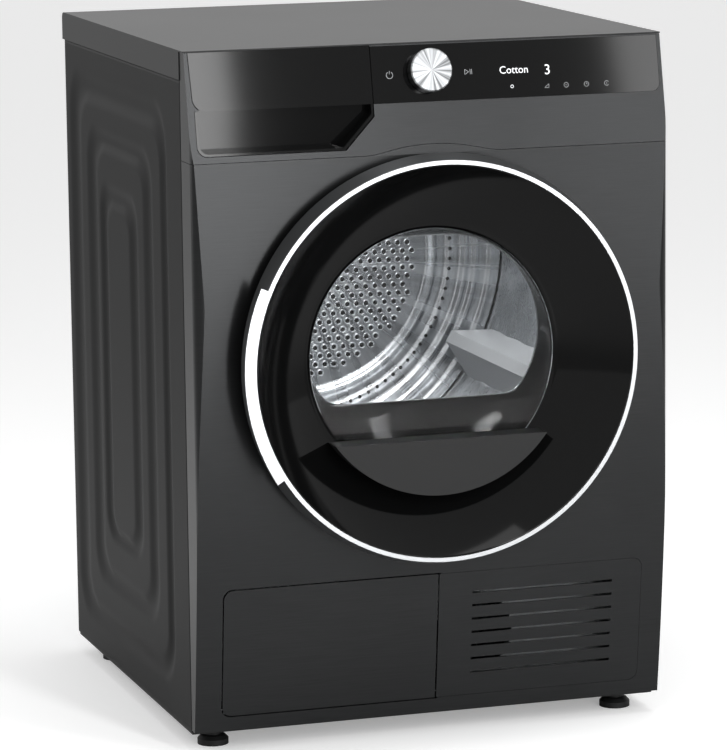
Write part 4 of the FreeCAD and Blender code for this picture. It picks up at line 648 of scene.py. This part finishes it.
def white_seen(tree, lit):
    """A factor, one for camera, glossy and transmission rays and zero for the rest; returns the light path node and
    that factor. The lit argument is not used.
    """
    path = tree.nodes.new("ShaderNodeLightPath")
    seen = math_node(tree, "MAXIMUM", path.outputs["Is Camera Ray"], path.outputs["Is Glossy Ray"])
    seen = math_node(tree, "MAXIMUM", seen, path.outputs["Is Transmission Ray"])
    return path, seen


world = bpy.data.worlds.new("studio")
bpy.context.scene.world = world
world.use_nodes = True
tree = world.node_tree
background = tree.nodes["Background"]
background.inputs["Color"].default_value = (1, 1, 1, 1)
_, seen = white_seen(tree, None)
strength = math_node(tree, "MULTIPLY_ADD", seen, 0.45)
strength.node.inputs[2].default_value = 0.55
tree.links.new(strength, background.inputs["Strength"])

floor_mesh = bpy.data.meshes.new("studio_floor")
floor_mesh.from_pydata([(-30, -30, 0), (30, -30, 0), (30, 30, 0), (-30, 30, 0)], [], [(0, 1, 2, 3)])
floor = bpy.data.objects.new("studio_floor", floor_mesh)
bpy.context.scene.collection.objects.link(floor)
floor_material = bpy.data.materials.new("pale_floor")
floor_material.use_nodes = True
floor_tree = floor_material.node_tree
floor_shader = floor_tree.nodes["Principled BSDF"]
floor_shader.inputs["Base Color"].default_value = PALE
floor_shader.inputs["Roughness"].default_value = 0.8
floor_shader.inputs["Specular IOR Level"].default_value = 0.1
floor_path = floor_tree.nodes.new("ShaderNodeLightPath")
glow = math_node(floor_tree, "MULTIPLY", floor_path.outputs["Is Camera Ray"], 0.3)
floor_shader.inputs["Emission Color"].default_value = (1, 1, 1, 1)
floor_tree.links.new(glow, floor_shader.inputs["Emission Strength"])
floor_mesh.materials.append(floor_material)


def lamp(name, place, aim, size, power):
    """A plain rectangular softbox at a place, pointing at aim."""
    data = bpy.data.lights.new(name, "AREA")
    data.shape = "RECTANGLE"
    data.size, data.size_y = size
    data.energy = power
    light = bpy.data.objects.new(name, data)
    bpy.context.scene.collection.objects.link(light)
    direction = Vector(aim) - Vector(place)
    light.location = place
    light.rotation_euler = direction.to_track_quat("-Z", "Y").to_euler()


lamp("front_left_strip", (0.27, -2.4, 1.05), (-0.2, -0.3, 0.45), (0.22, 2.0), 30)
lamp("front_right_strip", (1.22, -2.4, 1.05), (0.3, -0.3, 0.45), (0.2, 2.0), 16)
lamp("left_softbox", (-2.2, 1.2, 1.4), (-0.3, 0, 0.5), (0.8, 2.0), 18)
lamp("top_softbox", (0.2, -0.4, 2.6), (0, 0, 0.5), (1.6, 1.2), 20)
lamp("drum_lamp", (0.05, 0.0, 0.70), (0.0, 0.15, 0.4), (0.2, 0.25), 1.2)

CAMERA_PLACE = (-1.5859, -4.9418, 1.3171)
CAMERA_YAW, CAMERA_PITCH, CAMERA_ROLL = 0.31058, -0.17395, -0.0117
LENS_MM, SENSOR_MM = 199.8, 36.0
ahead = Vector((math.sin(CAMERA_YAW) * math.cos(CAMERA_PITCH), math.cos(CAMERA_YAW) * math.cos(CAMERA_PITCH),
                math.sin(CAMERA_PITCH)))
level = Vector((math.cos(CAMERA_YAW), -math.sin(CAMERA_YAW), 0))
upright = level.cross(ahead)
right = level * math.cos(CAMERA_ROLL) + upright * math.sin(CAMERA_ROLL)
above = upright * math.cos(CAMERA_ROLL) - level * math.sin(CAMERA_ROLL)
camera_data = bpy.data.cameras.new("studio_camera")
camera_data.lens = LENS_MM
camera_data.sensor_width = SENSOR_MM
camera_data.clip_end = 100
camera = bpy.data.objects.new("studio_camera", camera_data)
bpy.context.scene.collection.objects.link(camera)
turn = Matrix((right, above, -ahead)).transposed().to_4x4()
camera.matrix_world = Matrix.Translation(CAMERA_PLACE) @ turn
bpy.context.scene.camera = camera

bpy.context.scene.view_settings.view_transform = "Standard"

# ---------------------------------------------------------------- closing update
bpy.context.view_layer.update()
